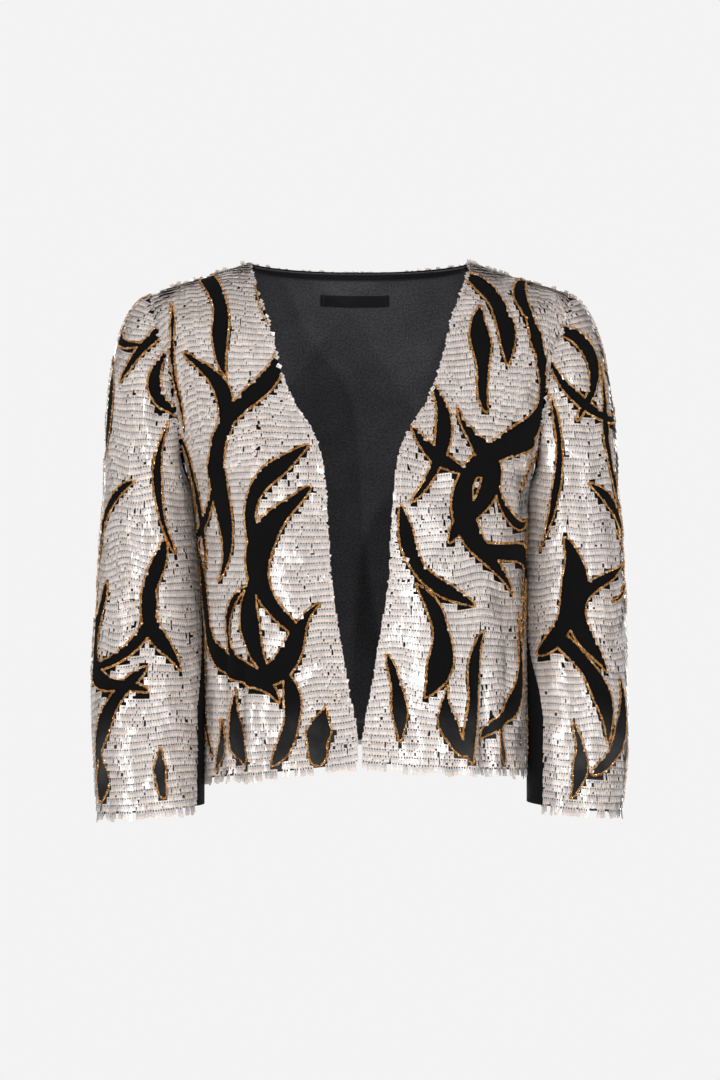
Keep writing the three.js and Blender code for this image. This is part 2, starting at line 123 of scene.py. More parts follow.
# Sections of the body, as in the solid model: superellipses whose upper part is closed over by the shoulders.
BODY = Table(
    ("z", "half_width", "front", "back", "armhole", "shift"),
    (
        (40, 262, 66, 56, 194, 0),
        (0, 244, 72, 62, 194, 0),
        (-30, 225, 77, 68, 194, 0),
        (-60, 204, 84, 77, 186, 0),
        (-95, 192, 94, 89, 176, 0),
        (-135, 182, 105, 99, 169, 0),
        (-165, 173, 114, 104, 165, 0),
        (-190, 162.5, 119, 105, 162.5, 0),
        (-225, 155.5, 121, 104, 155.5, 1),
        (-300, 151.5, 118, 99, 151.5, 3),
        (-380, 150, 114, 97, 150, 5),
        (-480, 151, 112, 100, 151, 5),
    ),
)
FRONT_EDGE = Table(
    ("z", "x"),
    (
        (40, 108),
        (0, NECK_HALF),
        (-25, 95.5),
        (-60, 83),
        (-100, 73.5),
        (-135, 59.5),
        (-160, 43.5),
        (-190, 33.8),
        (-240, 29.5),
        (-300, 25.5),
        (-355, 17),
        (-395, 10),
        (-430, 3.6),
        (-480, 2.2),
    ),
)
SLEEVE_COLUMNS = ("z", "centre", "depth", "wide", "deep", "inner")
SLEEVES = {
    "right": Table(
        SLEEVE_COLUMNS,
        (
            (-180, 198.5, -2, 39.5, 54, 0.8),
            (-215, 198, -3, 40.2, 54, 1.1),
            (-250, 197.4, -6, 43.9, 53, 1.2),
            (-300, 197, -10, 47.3, 51, 1.3),
            (-350, 197.4, -14, 49.8, 49, 1.8),
            (-400, 197.8, -17, 51.5, 48, 1.8),
            (-450, 197.3, -19, 50.6, 47, 1.8),
            (-515, 195.2, -20, 48.3, 46, 1.8),
        ),
    ),
    "left": Table(
        SLEEVE_COLUMNS,
        (
            (-180, 199, 1, 39.5, 54, 0.8),
            (-215, 200, 1, 40.8, 54, 1.2),
            (-250, 201, 2, 43.8, 53, 1.1),
            (-300, 201.7, 4, 45.8, 51, 0.7),
            (-350, 202.5, 6, 46.4, 50, 0.5),
            (-400, 203.2, 7, 46.9, 49, 0.3),
            (-450, 203.5, 8, 46.7, 49, 0.2),
            (-515, 200.7, 8, 43.6, 49, 0.2),
        ),
    ),
}
# How far the caps of the sleeves run outwards before they bend down, and the sleeves at the underarm
CAP_PUFF = {"right": 40, "left": 33}
UNDERARM_PUFF = 8
CAP_UPRIGHT = (8, 80)  # how far above the biceps a sleeve is already upright, at the underarm and at the top
SLEEVE_HEM_TILT = 4  # how much lower than its middle a sleeve's hem is on the outside
# The sleeves' seams, in half turns round from the outside. The front one swings outwards down the arm.
FRONT_SEAM_HIGH = 0.97
FRONT_SEAM_AT_HEM = {"right": 0.86, "left": 0.76}
FRONT_SEAM_SWING = {"from": 0.36, "over": 0.36}  # shares of the way from the biceps to the hem
BACK_SEAM = 0.74
# How much closer than the solids the sleeves rest on the body's sequins, and closer yet just below the armpit
CONTACT = {"by": 1.4, "from": -184, "over": 24}
ARMPIT = {"by": 2.2, "at": -206, "over": 17}

# Folds and creases: the heights of the two ends, the angles there from the middle in degrees, the width in
# degrees, how far the cloth is pushed out, and over how much of its height each end fades.
FOLD_CLEAR = 25  # from a sleeve's seam to where its folds reach their full depth
FOLD_COLUMNS = ("top", "bottom", "at_top", "at_bottom", "width", "push", "reach")
FOLDS = {
    "front_right": (
        (-60, -150, 42, 36, 7, -3.5, 30),
        (-105, -240, 24, 21, 4.5, -4.5, 35),
        (-330, -500, 46, 49, 3.6, -5.5, 60),
        (-350, -500, 40, 41, 4.5, 3.5, 60),
        (-300, -500, 58, 60, 3.4, -4.5, 70),
        (-380, -500, 26, 24, 6, 2.5, 60),
        (-150, -215, 60, 44, 2.2, -1.6, 25),
        (-120, -175, 52, 38, 1.8, -1.3, 20),
        (-400, -500, 53, 53, 1.6, 1.5, 30),
        (-410, -500, 33, 35, 2.4, -1.6, 40),
    ),
    "front_left": (
        (-70, -170, 38, 34, 7, -3, 30),
        (-140, -235, 28, 43, 5, -5, 30),
        (-120, -215, 20, 33, 5.5, 3, 30),
        (-330, -500, 42, 45, 3.8, -5.5, 60),
        (-360, -500, 36, 38, 4.5, 3.5, 50),
        (-300, -500, 61, 58, 4, -4, 70),
        (-390, -500, 17, 16, 6, -2.5, 50),
        (-155, -200, 34, 47, 1.9, -1.6, 15),
        (-165, -225, 27, 37, 1.7, -1.4, 20),
        (-120, -180, 55, 44, 2.2, -1.4, 20),
        (-400, -500, 50, 51, 1.7, 1.6, 30),
    ),
    "back": (
        (-260, -500, -52, -55, 4.5, -5, 80),
        (-300, -500, -40, -37, 5, 3, 80),
        (-240, -500, 50, 53, 4.5, -5, 80),
        (-330, -500, 36, 33, 5.5, 3, 80),
        (-330, -500, -8, -10, 6, -3, 70),
        (-80, -170, -44, -36, 6, -3.5, 35),
        (-80, -170, 45, 38, 6, -3.5, 35),
        (-120, -180, -57, -42, 2.2, -1.5, 20),
        (-130, -190, 59, 44, 2.2, -1.5, 20),
        (-380, -500, 14, 12, 3, -1.6, 40),
        (-400, -500, -27, -25, 2.5, 1.4, 40),
    ),
}
SLEEVE_FOLDS = (
    (-60, -165, 78, 100, 9, -4.5, 30),
    (-70, -150, 52, 62, 10, 2.5, 30),
    (-190, -330, 96, 84, 9, -2.5, 50),
    (-330, -420, -60, -96, 12, -3.5, 40),
    (-290, -350, -120, -80, 10, -3, 30),
    (-70, -170, -80, -104, 9, -4, 30),
    (-75, -130, 92, 66, 4, -1.5, 20),
    (-300, -345, 60, 112, 5, -1.5, 20),
    (-345, -375, 112, 70, 5, -1.3, 15),
    (-40, -75, 8, 14, 3.5, -1.4, 15),
    (-40, -70, -20, -26, 3.5, -1.3, 15),
)

# The bare tongues of cloth: where each starts, from the panel's middle line and down, how long it is, which
# way it heads (0 is down and 90 outwards), how it bends and waves on its way, in degrees, its greatest width,
# and the share of the way along at which it is that wide.
TONGUE_COLUMNS = ("across", "down", "length", "heading", "bend", "wave", "width", "fullest")
TONGUES = {
    "front_right": (
        (150, -42, 150, 10, -40, -24, 21, 0.45),
        (94, -12, 96, -6, -46, 0, 18, 0.55),
        (186, 20, 118, -20, 40, 22, 8, 0.5),
        (74, 62, 262, -14, 62, 46, 25, 0.5),
        (172, 74, 132, -46, 66, -20, 16, 0.5),
        (46, 172, 148, 52, -66, 18, 18, 0.45),
        (204, 132, 165, -42, 62, 20, 16, 0.5),
        (44, 210, 176, 48, -92, 18, 26, 0.45),
        (206, 262, 210, -62, 40, 40, 26, 0.45),
        (84, 266, 130, 40, -84, 0, 21, 0.6),
        (36, 318, 160, 58, 20, -42, 24, 0.55),
        (220, 330, 128, -8, 18, 10, 9, 0.4),
        (178, 346, 118, 14, -44, 20, 14, 0.55),
        (74, 372, 100, -34, 80, 0, 20, 0.6),
        (126, 392, 74, 18, -66, 0, 22, 0.7),
        (150, 176, 170, -20, 168, 0, 11, 0.55),
        (104, 300, 110, 70, -150, 0, 9, 0.5),
        (152, 418, 48, -6, 20, 0, 9, 0.6),
        (30, 414, 56, 26, -40, 0, 25, 0.6),
        (196, 196, 124, 6, -20, 14, 5, 0.5),
    ),
    "front_left": (
        (92, -22, 128, 48, -52, 0, 22, 0.5),
        (176, -42, 120, -30, 66, -14, 14, 0.45),
        (112, 30, 110, -24, 58, 18, 19, 0.4),
        (160, 40, 178, 20, -76, 26, 23, 0.5),
        (58, 96, 140, 34, -80, 0, 14, 0.5),
        (198, 92, 130, 8, -40, 10, 8, 0.5),
        (190, 150, 240, -58, 96, -32, 25, 0.4),
        (88, 132, 160, 10, -26, 42, 23, 0.6),
        (36, 226, 128, 14, 48, -14, 17, 0.5),
        (100, 262, 232, 66, -50, 36, 25, 0.42),
        (212, 246, 116, -28, 26, 0, 13, 0.5),
        (50, 300, 116, 46, -84, 0, 24, 0.6),
        (172, 326, 146, -4, -44, 24, 20, 0.62),
        (118, 342, 126, -34, 56, 16, 18, 0.5),
        (24, 366, 84, 20, -24, 0, 14, 0.55),
        (80, 394, 70, -14, 62, 0, 20, 0.66),
        (220, 366, 92, -8, 12, 0, 11, 0.5),
        (140, 172, 136, -34, 168, 0, 10, 0.5),
        (46, 150, 104, 20, 84, 0, 13, 0.5),
        (142, 428, 38, 10, 0, 0, 12, 0.6),
    ),
    "back": (
        (-150, 10, 150, -20, 150, 0, 12, 0.5),
        (150, 140, 160, 30, -165, 0, 11, 0.5),
        (-30, 196, 130, 10, 150, 0, 11, 0.5),
        (20, 290, 130, -20, 160, 0, 12, 0.5),
        (-30, 16, 170, 72, -56, 30, 20, 0.45),
        (-138, -18, 160, 12, 44, -26, 19, 0.4),
        (122, -20, 176, -28, 70, 26, 20, 0.45),
        (-76, 54, 230, 26, -76, 40, 25, 0.58),
        (74, 66, 146, -38, 88, 0, 21, 0.4),
        (164, 80, 156, -14, 44, 24, 17, 0.5),
        (-174, 92, 162, 28, -56, 18, 17, 0.55),
        (6, 114, 216, -50, 84, 34, 26, 0.5),
        (-126, 166, 190, 52, -84, -26, 25, 0.45),
        (98, 178, 206, -44, 52, 36, 25, 0.6),
        (186, 200, 156, -10, -30, 16, 14, 0.5),
        (-196, 216, 158, 10, 26, -18, 14, 0.4),
        (46, 226, 156, 38, -96, 0, 21, 0.4),
        (-54, 238, 186, -38, 78, 28, 24, 0.6),
        (142, 296, 176, -30, 62, -26, 21, 0.45),
        (-146, 300, 188, 38, -70, 26, 24, 0.5),
        (64, 322, 146, -48, 86, 14, 20, 0.55),
        (-12, 340, 132, 44, -84, 20, 21, 0.6),
        (-90, 370, 104, -24, 50, 0, 17, 0.5),
        (202, 336, 122, -12, 28, 14, 13, 0.5),
        (-210, 348, 110, 8, -30, 12, 12, 0.5),
        (30, 402, 72, 36, -62, 0, 18, 0.6),
        (106, 412, 58, -10, 42, 0, 16, 0.7),
    ),
    "sleeve_right_top": (
        (-34, 318, 200, 6, 190, 0, 12, 0.6),
        (10, 20, 104, -30, 160, 0, 9, 0.5),
        (36, -28, 150, 36, -70, 0, 17, 0.4),
        (-36, 6, 136, -26, 56, 0, 14, 0.5),
        (76, 62, 118, 12, 36, -24, 12, 0.5),
        (-6, 84, 124, 60, -120, 0, 24, 0.6),
        (20, 142, 158, -54, 78, 24, 30, 0.42),
        (96, 150, 126, -20, 52, 0, 8, 0.5),
        (-88, 138, 150, 16, -50, 16, 17, 0.5),
        (66, 204, 180, -64, 100, 0, 18, 0.5),
        (-46, 262, 180, 34, -84, 28, 19, 0.6),
        (96, 258, 136, -8, 38, -22, 17, 0.42),
        (36, 296, 156, -8, 74, -34, 21, 0.45),
        (-110, 300, 124, 8, 26, 0, 13, 0.5),
        (86, 374, 112, -50, 36, 0, 19, 0.5),
        (-34, 384, 104, -20, 66, 16, 17, 0.55),
        (-88, 412, 84, 14, -34, 0, 15, 0.5),
        (32, 440, 58, 24, -54, 0, 21, 0.7),
        (100, 448, 48, -10, 20, 0, 12, 0.6),
    ),
    "sleeve_left_top": (
        (-30, 96, 180, 8, 180, 0, 11, 0.6),
        (34, 250, 92, -70, 160, 0, 8, 0.5),
        (16, -26, 136, -34, 74, 0, 14, 0.45),
        (-44, 34, 138, 22, -58, 0, 14, 0.5),
        (78, 28, 140, -34, 64, -20, 17, 0.4),
        (30, 92, 176, 8, -42, 12, 12, 0.6),
        (96, 120, 154, -12, 42, 0, 8, 0.5),
        (-84, 122, 146, 14, 32, -22, 15, 0.5),
        (66, 206, 116, -64, 58, 0, 16, 0.55),
        (-24, 212, 160, 44, -96, 0, 18, 0.42),
        (90, 256, 130, -28, 96, 0, 25, 0.45),
        (22, 280, 136, 56, -74, 28, 18, 0.6),
        (-92, 266, 128, -10, 40, 16, 13, 0.5),
        (-20, 332, 128, 20, -76, 14, 17, 0.5),
        (106, 342, 116, -50, 56, 0, 22, 0.42),
        (42, 384, 104, -16, 78, 0, 21, 0.55),
        (-70, 396, 96, 16, -40, 14, 13, 0.5),
        (98, 428, 70, -26, 48, 0, 13, 0.6),
        (6, 442, 58, 26, -44, 0, 17, 0.7),
    ),
}
PANELS = ("front_right", "front_left", "back", "sleeve_right_top", "sleeve_left_top")

# Columns, rows over the shoulder or cap, and rows below, in the fine grid of each panel
GRID = {"front": (91, 26, 110), "back": (161, 26, 110), "sleeve": (85, 40, 90), "under": (19, 30, 60)}
NECK_COLUMNS = 0.55  # the share of the back's columns that are within the neck

# Where the sequins lie, in millimetres
HOLE_FROM_TOP = 1.2
FIRST_ROW = 1.2  # above the hem
PLACE_ERROR = 0.09  # along a row
ROW_WAVE = {"push": 2.1, "over": 62, "calm": 90}  # how the rows rise and fall, which they don't at the hem
SEQUIN_LIFT = 0.2  # of the holes from the cloth
HOLE_CLEAR = 1.5  # how near a bare tongue a hole may be
TIP_SHARE = 0.72  # how far down a sequin, as a share, it is held against the bare tongues too
TIP_OVER = 0.2  # how far within a tongue it may be there
RAGGED = {"over": 9, "from": 0.62}  # where the uneven field is higher, the fringe has a gap

# How unevenly they lie. A drift changes over some stretch of the cloth, and an error from one to the next.
REACH = {"drift": 0.28, "over": 70, "error": 0.2}
FRINGE = {"mean": 1.5, "drift": 1.7, "over": 11, "error": 0.7, "limits": (0.1, 4.2)}
YAW_ERROR = {"all": 0.045, "loose": 0.5, "fringe": 0.07, "slim": 0.1}  # radians
ROLL = {"mean": 4.2, "drift": 4.4, "over": 34, "error": 1.4}  # degrees
TIP_LIFT = {"mean": 0.66, "drift": 0.3, "over": 46}  # since a tip lies on the row below
PITCH_ERROR = 1.3  # degrees
WIDTH_ERROR = 0.02  # share
TONE = {"mean": 0.5, "drift": 0.4, "over": 120}
CURLED_REACH = (0.25, 0.62)  # shares
LOOSE = {"share": 0.006, "pitch": 0.12}
SLIM = {"share": 0.16, "width": (0.5, 0.68)}
AT_SIDE = {"within": 1.2, "narrower": 0.5}  # the sequins at the sides of a panel

# The sequins on the edges: the shares of their places that stay bare, and where in a panel's grid they stand
TOP_BARE = 0.62
FRONT_BARE = 0.25
TOP_ROW = 1.2
FRONT_COLUMN = 0.55
EDGE_LIFT = 0.3
EDGE_REACH = (1.6, 3.8)
EDGE_TURNS = (0.25, 0.25, 0.08)  # errors of yaw, roll and pitch in radians

# Where a sequin's dark hole is drawn, in shares of its width and length, and between which radii it fades out
HOLE_AT = (0.56, 0.25)
HOLE_FADE = (0.7, 0.86)

# The stitches, with their slant in radians
THREAD = {"width": 0.45, "thickness": 0.35, "slant": 0.06, "gap": 0.8}
STITCH = {"binding": 1.7, "label": 1.4}

# How the gold rings lie
RING_SIDES = 6
RING_LIFT = 1.2
RING_PROFILE = (-0.05, 0.3, 0.05)  # lifts of a ring's outside, crest and hole
RING_PLACE_ERROR = 0.12
RING_TILT = 15  # degrees
RING_ERROR = 26  # degrees


def mix(a, b, t):
    return a + (b - a) * t


def smooth(t):
    c = np.clip(t, 0, 1)
    return c * c * (3 - 2 * c)


def unit(v):
    return v / np.maximum(np.linalg.norm(v, axis=-1, keepdims=True), 1e-9)


def square_to(out, way):
    """The way as near as it can be while square to another, out."""
    return unit(way - out * np.sum(way * out, axis=-1, keepdims=True))


def turned(a, b, angle):
    """Two ways that are square to each other, turned in their own plane."""
    return a * np.cos(angle) + b * np.sin(angle), b * np.cos(angle) - a * np.sin(angle)


def run_of(line):
    """The distance along a line of points, from its start to each of them."""
    return np.concatenate([[0], np.cumsum(np.linalg.norm(np.diff(line, axis=0), axis=1))])


def read_along(places, run, values):
    """Rows of values that are known at the distances in run, read at other distances."""
    return np.stack([np.interp(places, run, column) for column in values.T], axis=-1)


def fold_push(rows, angle, z):
    """How far the folds push a point out, at an angle in degrees and a height."""
    push = np.zeros_like(z)
    for row in rows:
        f = dict(zip(FOLD_COLUMNS, row))
        t = np.clip((f["top"] - z) / (f["top"] - f["bottom"]), 0, 1)
        off = (angle - mix(f["at_top"], f["at_bottom"], t)) / f["width"]
        window = smooth((f["top"] - z) / f["reach"]) * smooth((z - f["bottom"]) / f["reach"])
        push += f["push"] * window * np.exp(-off * off)
    return push


def shoulder_z(x):
    """The height of the shoulder seam's line, carried on over the neck."""
    x = np.abs(x)
    past = np.hypot(x, NECK_SOFTNESS) * (NECK_HALF / math.hypot(NECK_HALF, NECK_SOFTNESS))
    return SHOULDER_SLOPE * (NECK_HALF - np.where(x < NECK_HALF, past, x))


def angle_at(face, x, z):
    share = np.minimum(1, np.abs(x / BODY(z, "half_width")) ** (ROUND[face] / 2))
    return np.sign(x) * np.arcsin(share)


def body_point(face, angle, z):
    n = ROUND[face]
    x = BODY(z, "half_width") * np.abs(np.sin(angle)) ** (2 / n) * np.sign(angle)
    full = BODY(z, face) * np.maximum(0, np.cos(angle)) ** (2 / n)
    below = np.clip((shoulder_z(x) - z) / ROOF[face], 0, 1)
    y = FACING[face] * full * np.sqrt(1 - (1 - below) ** 2)
    return np.stack([x + BODY(z, "shift"), y, z + 0 * x], axis=-1)


def side_angle(face, z):
    """The angle of the side seam, or of the armhole above it."""
    side = np.arccos((SEAM / BODY(z, face)) ** (ROUND[face] / 2))
    hole = angle_at(face, BODY(z, "armhole") - SEAM, z)
    return np.where(z > UNDERARM_Z, np.minimum(side, hole), side)


def edge_angle(side, z):
    return angle_at("front", FRONT_EDGE(z, "x") - side * BODY(z, "shift"), z)


def seam_x(face, u, edge):
    """Where each column, at a share u of the way to the side, meets the line of the shoulder seam."""
    x = mix(NECK_HALF, SHOULDER_HALF, u)
    for _ in range(12):
        z = shoulder_z(x)
        angle = mix(edge(z), side_angle(face, z), u)
        x = BODY(z, "half_width") * np.sin(angle) ** (2 / ROUND[face])
    return x


def seam_turn(face, x, z):
    flat = BODY(z, face) * np.cos(angle_at(face, np.abs(x), z)) ** (2 / ROUND[face])
    return np.arcsin(SEAM / flat)


def column_heights(top, roof, hem, start, counts):
    """Heights down each column, closer together where the form rounds over the shoulder."""
    over, down = counts
    turn = mix(start[:, None], math.pi / 2, np.linspace(0, 1, over)[None])
    first = top[:, None] - roof * (1 - np.cos(turn))
    rest = mix(first[:, -1:], hem[:, None], np.linspace(0, 1, down + 1)[None, 1:])
    return np.concatenate([first, rest], axis=1)


class Sheet:
    """A grid of points on the cloth, with the way out, and its own flat coordinates across and down."""

    def __init__(self, points, out, flat=None, across_from=None):
        self.points = points
        self.out = out
        self.wide, self.tall = points.shape[:2]
        i, j = self.wide // 2, self.tall // 2
        step, down = points[i + 1, j] - points[i, j], points[i, j + 1] - points[i, j]
        self.hand = np.sign(np.dot(np.cross(step, down), out[i, j]))
        if flat is not None:
            self._measure(flat["level"], flat["hem"], across_from)

    def _measure(self, level, hem_down, across_from):
        arc = self.run(1)
        z = self.points[:, :, 2]
        at = np.array([np.interp(level, -z[i], arc[i]) for i in range(self.wide)])[:, None]
        below = arc - at
        to_hem = below[:, -1:]
        self.down = level + np.where(below > 0, below * (hem_down - level) / to_hem, below)
        self.hem_down = hem_down
        self.across_from = across_from
        self.traced = {}

    def run(self, axis):
        """The distance to each point along its line of the grid, across (0) or down (1)."""
        steps = np.cumsum(np.linalg.norm(np.diff(self.points, axis=axis), axis=2), axis=axis)
        return np.concatenate([np.zeros_like(steps.take([0], axis=axis)), steps], axis=axis)

    def stretches(self, down):
        """The unbroken stretches of one row of equal down, as columns, rows and distances across."""
        key = round(down, 2)
        if key in self.traced:
            return self.traced[key]
        top = self.down[:, 0]
        inside = (top <= down) & (down <= self.hem_down + 0.01)
        edges = np.flatnonzero(np.diff(np.concatenate([[False], inside, [False]]).astype(int)))
        found = []
        for first, past in zip(edges[::2], edges[1::2]):
            cols = list(range(first, past))
            rows = [float(np.interp(down, self.down[c], np.arange(self.tall))) for c in cols]
            if first > 0:
                cols.insert(0, first - 1 + (top[first - 1] - down) / (top[first - 1] - top[first]))
                rows.insert(0, 0.0)
            if past < self.wide:
                cols.append(past - 1 + (down - top[past - 1]) / (top[past] - top[past - 1]))
                rows.append(0.0)
            if len(cols) < 2:
                continue
            cols, rows = np.array(cols, float), np.array(rows)
            line = self.at(cols, rows)[0]
            run = run_of(line)
            found.append((cols, rows, run + self.across_from(line, run, cols)))
        self.traced[key] = found
        return found

    def at(self, i, j):
        """Points and ways out at fractional columns and rows."""
        a = np.clip(np.floor(i).astype(int), 0, self.wide - 2)
        b = np.clip(np.floor(j).astype(int), 0, self.tall - 2)
        s, t = (np.clip(i, 0, self.wide - 1) - a)[:, None], (np.clip(j, 0, self.tall - 1) - b)[:, None]

        def read(grid):
            near = grid[a, b] * (1 - t) + grid[a, b + 1] * t
            far = grid[a + 1, b] * (1 - t) + grid[a + 1, b + 1] * t
            return near * (1 - s) + far * s

        return read(self.points), unit(read(self.out))

    def frame_at(self, i, j):
        """Points with three ways at each: across, down and out."""
        point, out = self.at(i, j)
        step = 0.6
        below, _ = self.at(i, np.minimum(j + step, self.tall - 1))
        above, _ = self.at(i, np.maximum(j - step, 0))
        down = square_to(out, unit(below - above))
        return point, np.cross(down, out), down, out

    def locate(self, across, down):
        """The fractional column and row of each flat point, not a number where the panel doesn't reach."""
        i, j = np.full(len(across), np.nan), np.full(len(across), np.nan)
        level = np.round(down / 1.5) * 1.5
        for value in np.unique(level):
            which = np.flatnonzero(level == value)
            for cols, _rows, places in self.stretches(value):
                column = np.interp(across[which], places, cols, left=np.nan, right=np.nan)
                i[which] = np.where(np.isnan(i[which]), column, i[which])
        good = np.flatnonzero(~np.isnan(i))
        a = np.clip(np.floor(i[good]).astype(int), 0, self.wide - 2)
        t = i[good] - a
        down_at = self.down[a] * (1 - t)[:, None] + self.down[a + 1] * t[:, None]
        for n, g in enumerate(good):
            if down_at[n, 0] <= down[g] <= down_at[n, -1]:
                j[g] = np.interp(down[g], down_at[n], np.arange(self.tall))
            else:
                i[g] = np.nan
        return i, j

    def moved(self, distance):
        return Sheet(self.points + self.out * distance, self.out)

    def size(self):
        """The width, length and area in metres that it was cut to."""
        across = np.linalg.norm(np.diff(self.points, axis=0), axis=2).sum(axis=0).max()
        down = np.linalg.norm(np.diff(self.points, axis=1), axis=2).sum(axis=1).max()
        a = np.diff(self.points, axis=0)[:, :-1]
        b = np.diff(self.points, axis=1)[:-1]
        area = np.linalg.norm(np.cross(a, b), axis=2).sum()
        return across * MM, down * MM, min(area, across * down) * MM * MM


def outwards(points, core):
    """The ways square to a grid of points, on the side that is away from the core inside it."""
    across, down = np.gradient(points, axis=0), np.gradient(points, axis=1)
    out = unit(np.cross(across, down))
    return -out if np.sum(out * (points - core(points))) < 0 else out


def body_core(points):
    """Points on the body's own axis, no higher than the chest."""
    return np.stack([0 * points[..., 0], 0 * points[..., 0], np.minimum(points[..., 2], -60)], axis=-1)


def square_to_seams(points, out):
    """The shoulder and side seams lie in the plane Y = 0, and the cloth is square to it there."""
    near = np.abs(points[..., 1]) < 4 * SEAM
    out[..., 1] = np.where(near, 0, out[..., 1])
    return unit(out)


def formed(face, angle, z, folds, across_from):
    unfolded = body_point(face, angle, z)
    out = square_to_seams(unfolded, outwards(unfolded, body_core))
    push = fold_push(folds, np.degrees(np.abs(angle) if face == "front" else angle), z)
    points = unfolded + out * push[..., None]
    out = square_to_seams(points, outwards(points, body_core))
    return Sheet(points, out, BODY_FLAT, across_from)


def front_sheet(name):
    side = SIDES[name.split("_")[1]]
    wide, over, down = GRID["front"]
    u = np.linspace(0, 1, wide)
    x = seam_x("front", u, lambda z: edge_angle(side, z))
    top = shoulder_z(x)
    hem = mix(FRONT_HEM_Z, SIDE_HEM_Z[side], u**0.7)
    z = column_heights(top, ROOF["front"], hem, seam_turn("front", x, top), (over, down))
    angle = mix(edge_angle(side, z), side_angle("front", z), u[:, None])
    return formed("front", side * angle, z, FOLDS[name], lambda line, run, cols: abs(line[0, 0]))


def neck_share():
    low, high = 0.2, 0.9
    for _ in range(40):
        middle = (low + high) / 2
        if seam_x("back", np.array([middle]), lambda z: 0 * z)[0] < NECK_HALF:
            low = middle
        else:
            high = middle
    return low


def back_sheet(_name):
    wide, over, down = GRID["back"]
    neck = neck_share()
    half = wide // 2
    part = int(half * NECK_COLUMNS)
    inner = neck * np.sin(np.linspace(0, 1, part + 1) * math.pi / 2)
    outer = np.linspace(neck, 1, half - part + 1)[1:]
    u = np.concatenate([-outer[::-1], -inner[:0:-1], inner, outer])
    x = seam_x("back", np.abs(u), lambda z: 0 * z)
    top = shoulder_z(x)
    neck_z = -BACK_NECK_DROP * (1 - (np.minimum(x, NECK_HALF) / NECK_HALF) ** 2.7)
    below = np.where(x < NECK_HALF - 0.5, top - neck_z, 0)
    start = np.maximum(seam_turn("back", x, top), np.arccos(np.clip(1 - below / ROOF["back"], 0, 1)))
    side_hem = np.where(u < 0, SIDE_HEM_Z[RIGHT], SIDE_HEM_Z[LEFT])
    hem = mix(BACK_HEM_Z, side_hem, smooth(np.abs(u)))
    z = column_heights(top, ROOF["back"], hem, start, (over, down))
    angle = u[:, None] * side_angle("back", z)

    def from_middle(line, run, cols):
        share = np.interp(cols, np.arange(wide), u)
        if share[0] > 0:
            return line[0, 0]
        if share[-1] < 0:
            return line[-1, 0] - run[-1]
        return -np.interp(0, share, run)

    return formed("back", angle, z, FOLDS["back"], from_middle)


def armhole(face, side):
    """The armhole's seam as a function of the share of its length from the shoulder's tip to the underarm."""
    tip = shoulder_z(SHOULDER_HALF)
    z = mix(tip, UNDERARM_Z, (1 - np.cos(np.linspace(0, math.pi, 201))) / 2)
    line = body_point(face, side * angle_at(face, BODY(z, "armhole"), z), z)
    line[0] = (side * SHOULDER_HALF, 0, tip)
    run = run_of(line)
    return lambda share: read_along(share * run[-1], run, line)


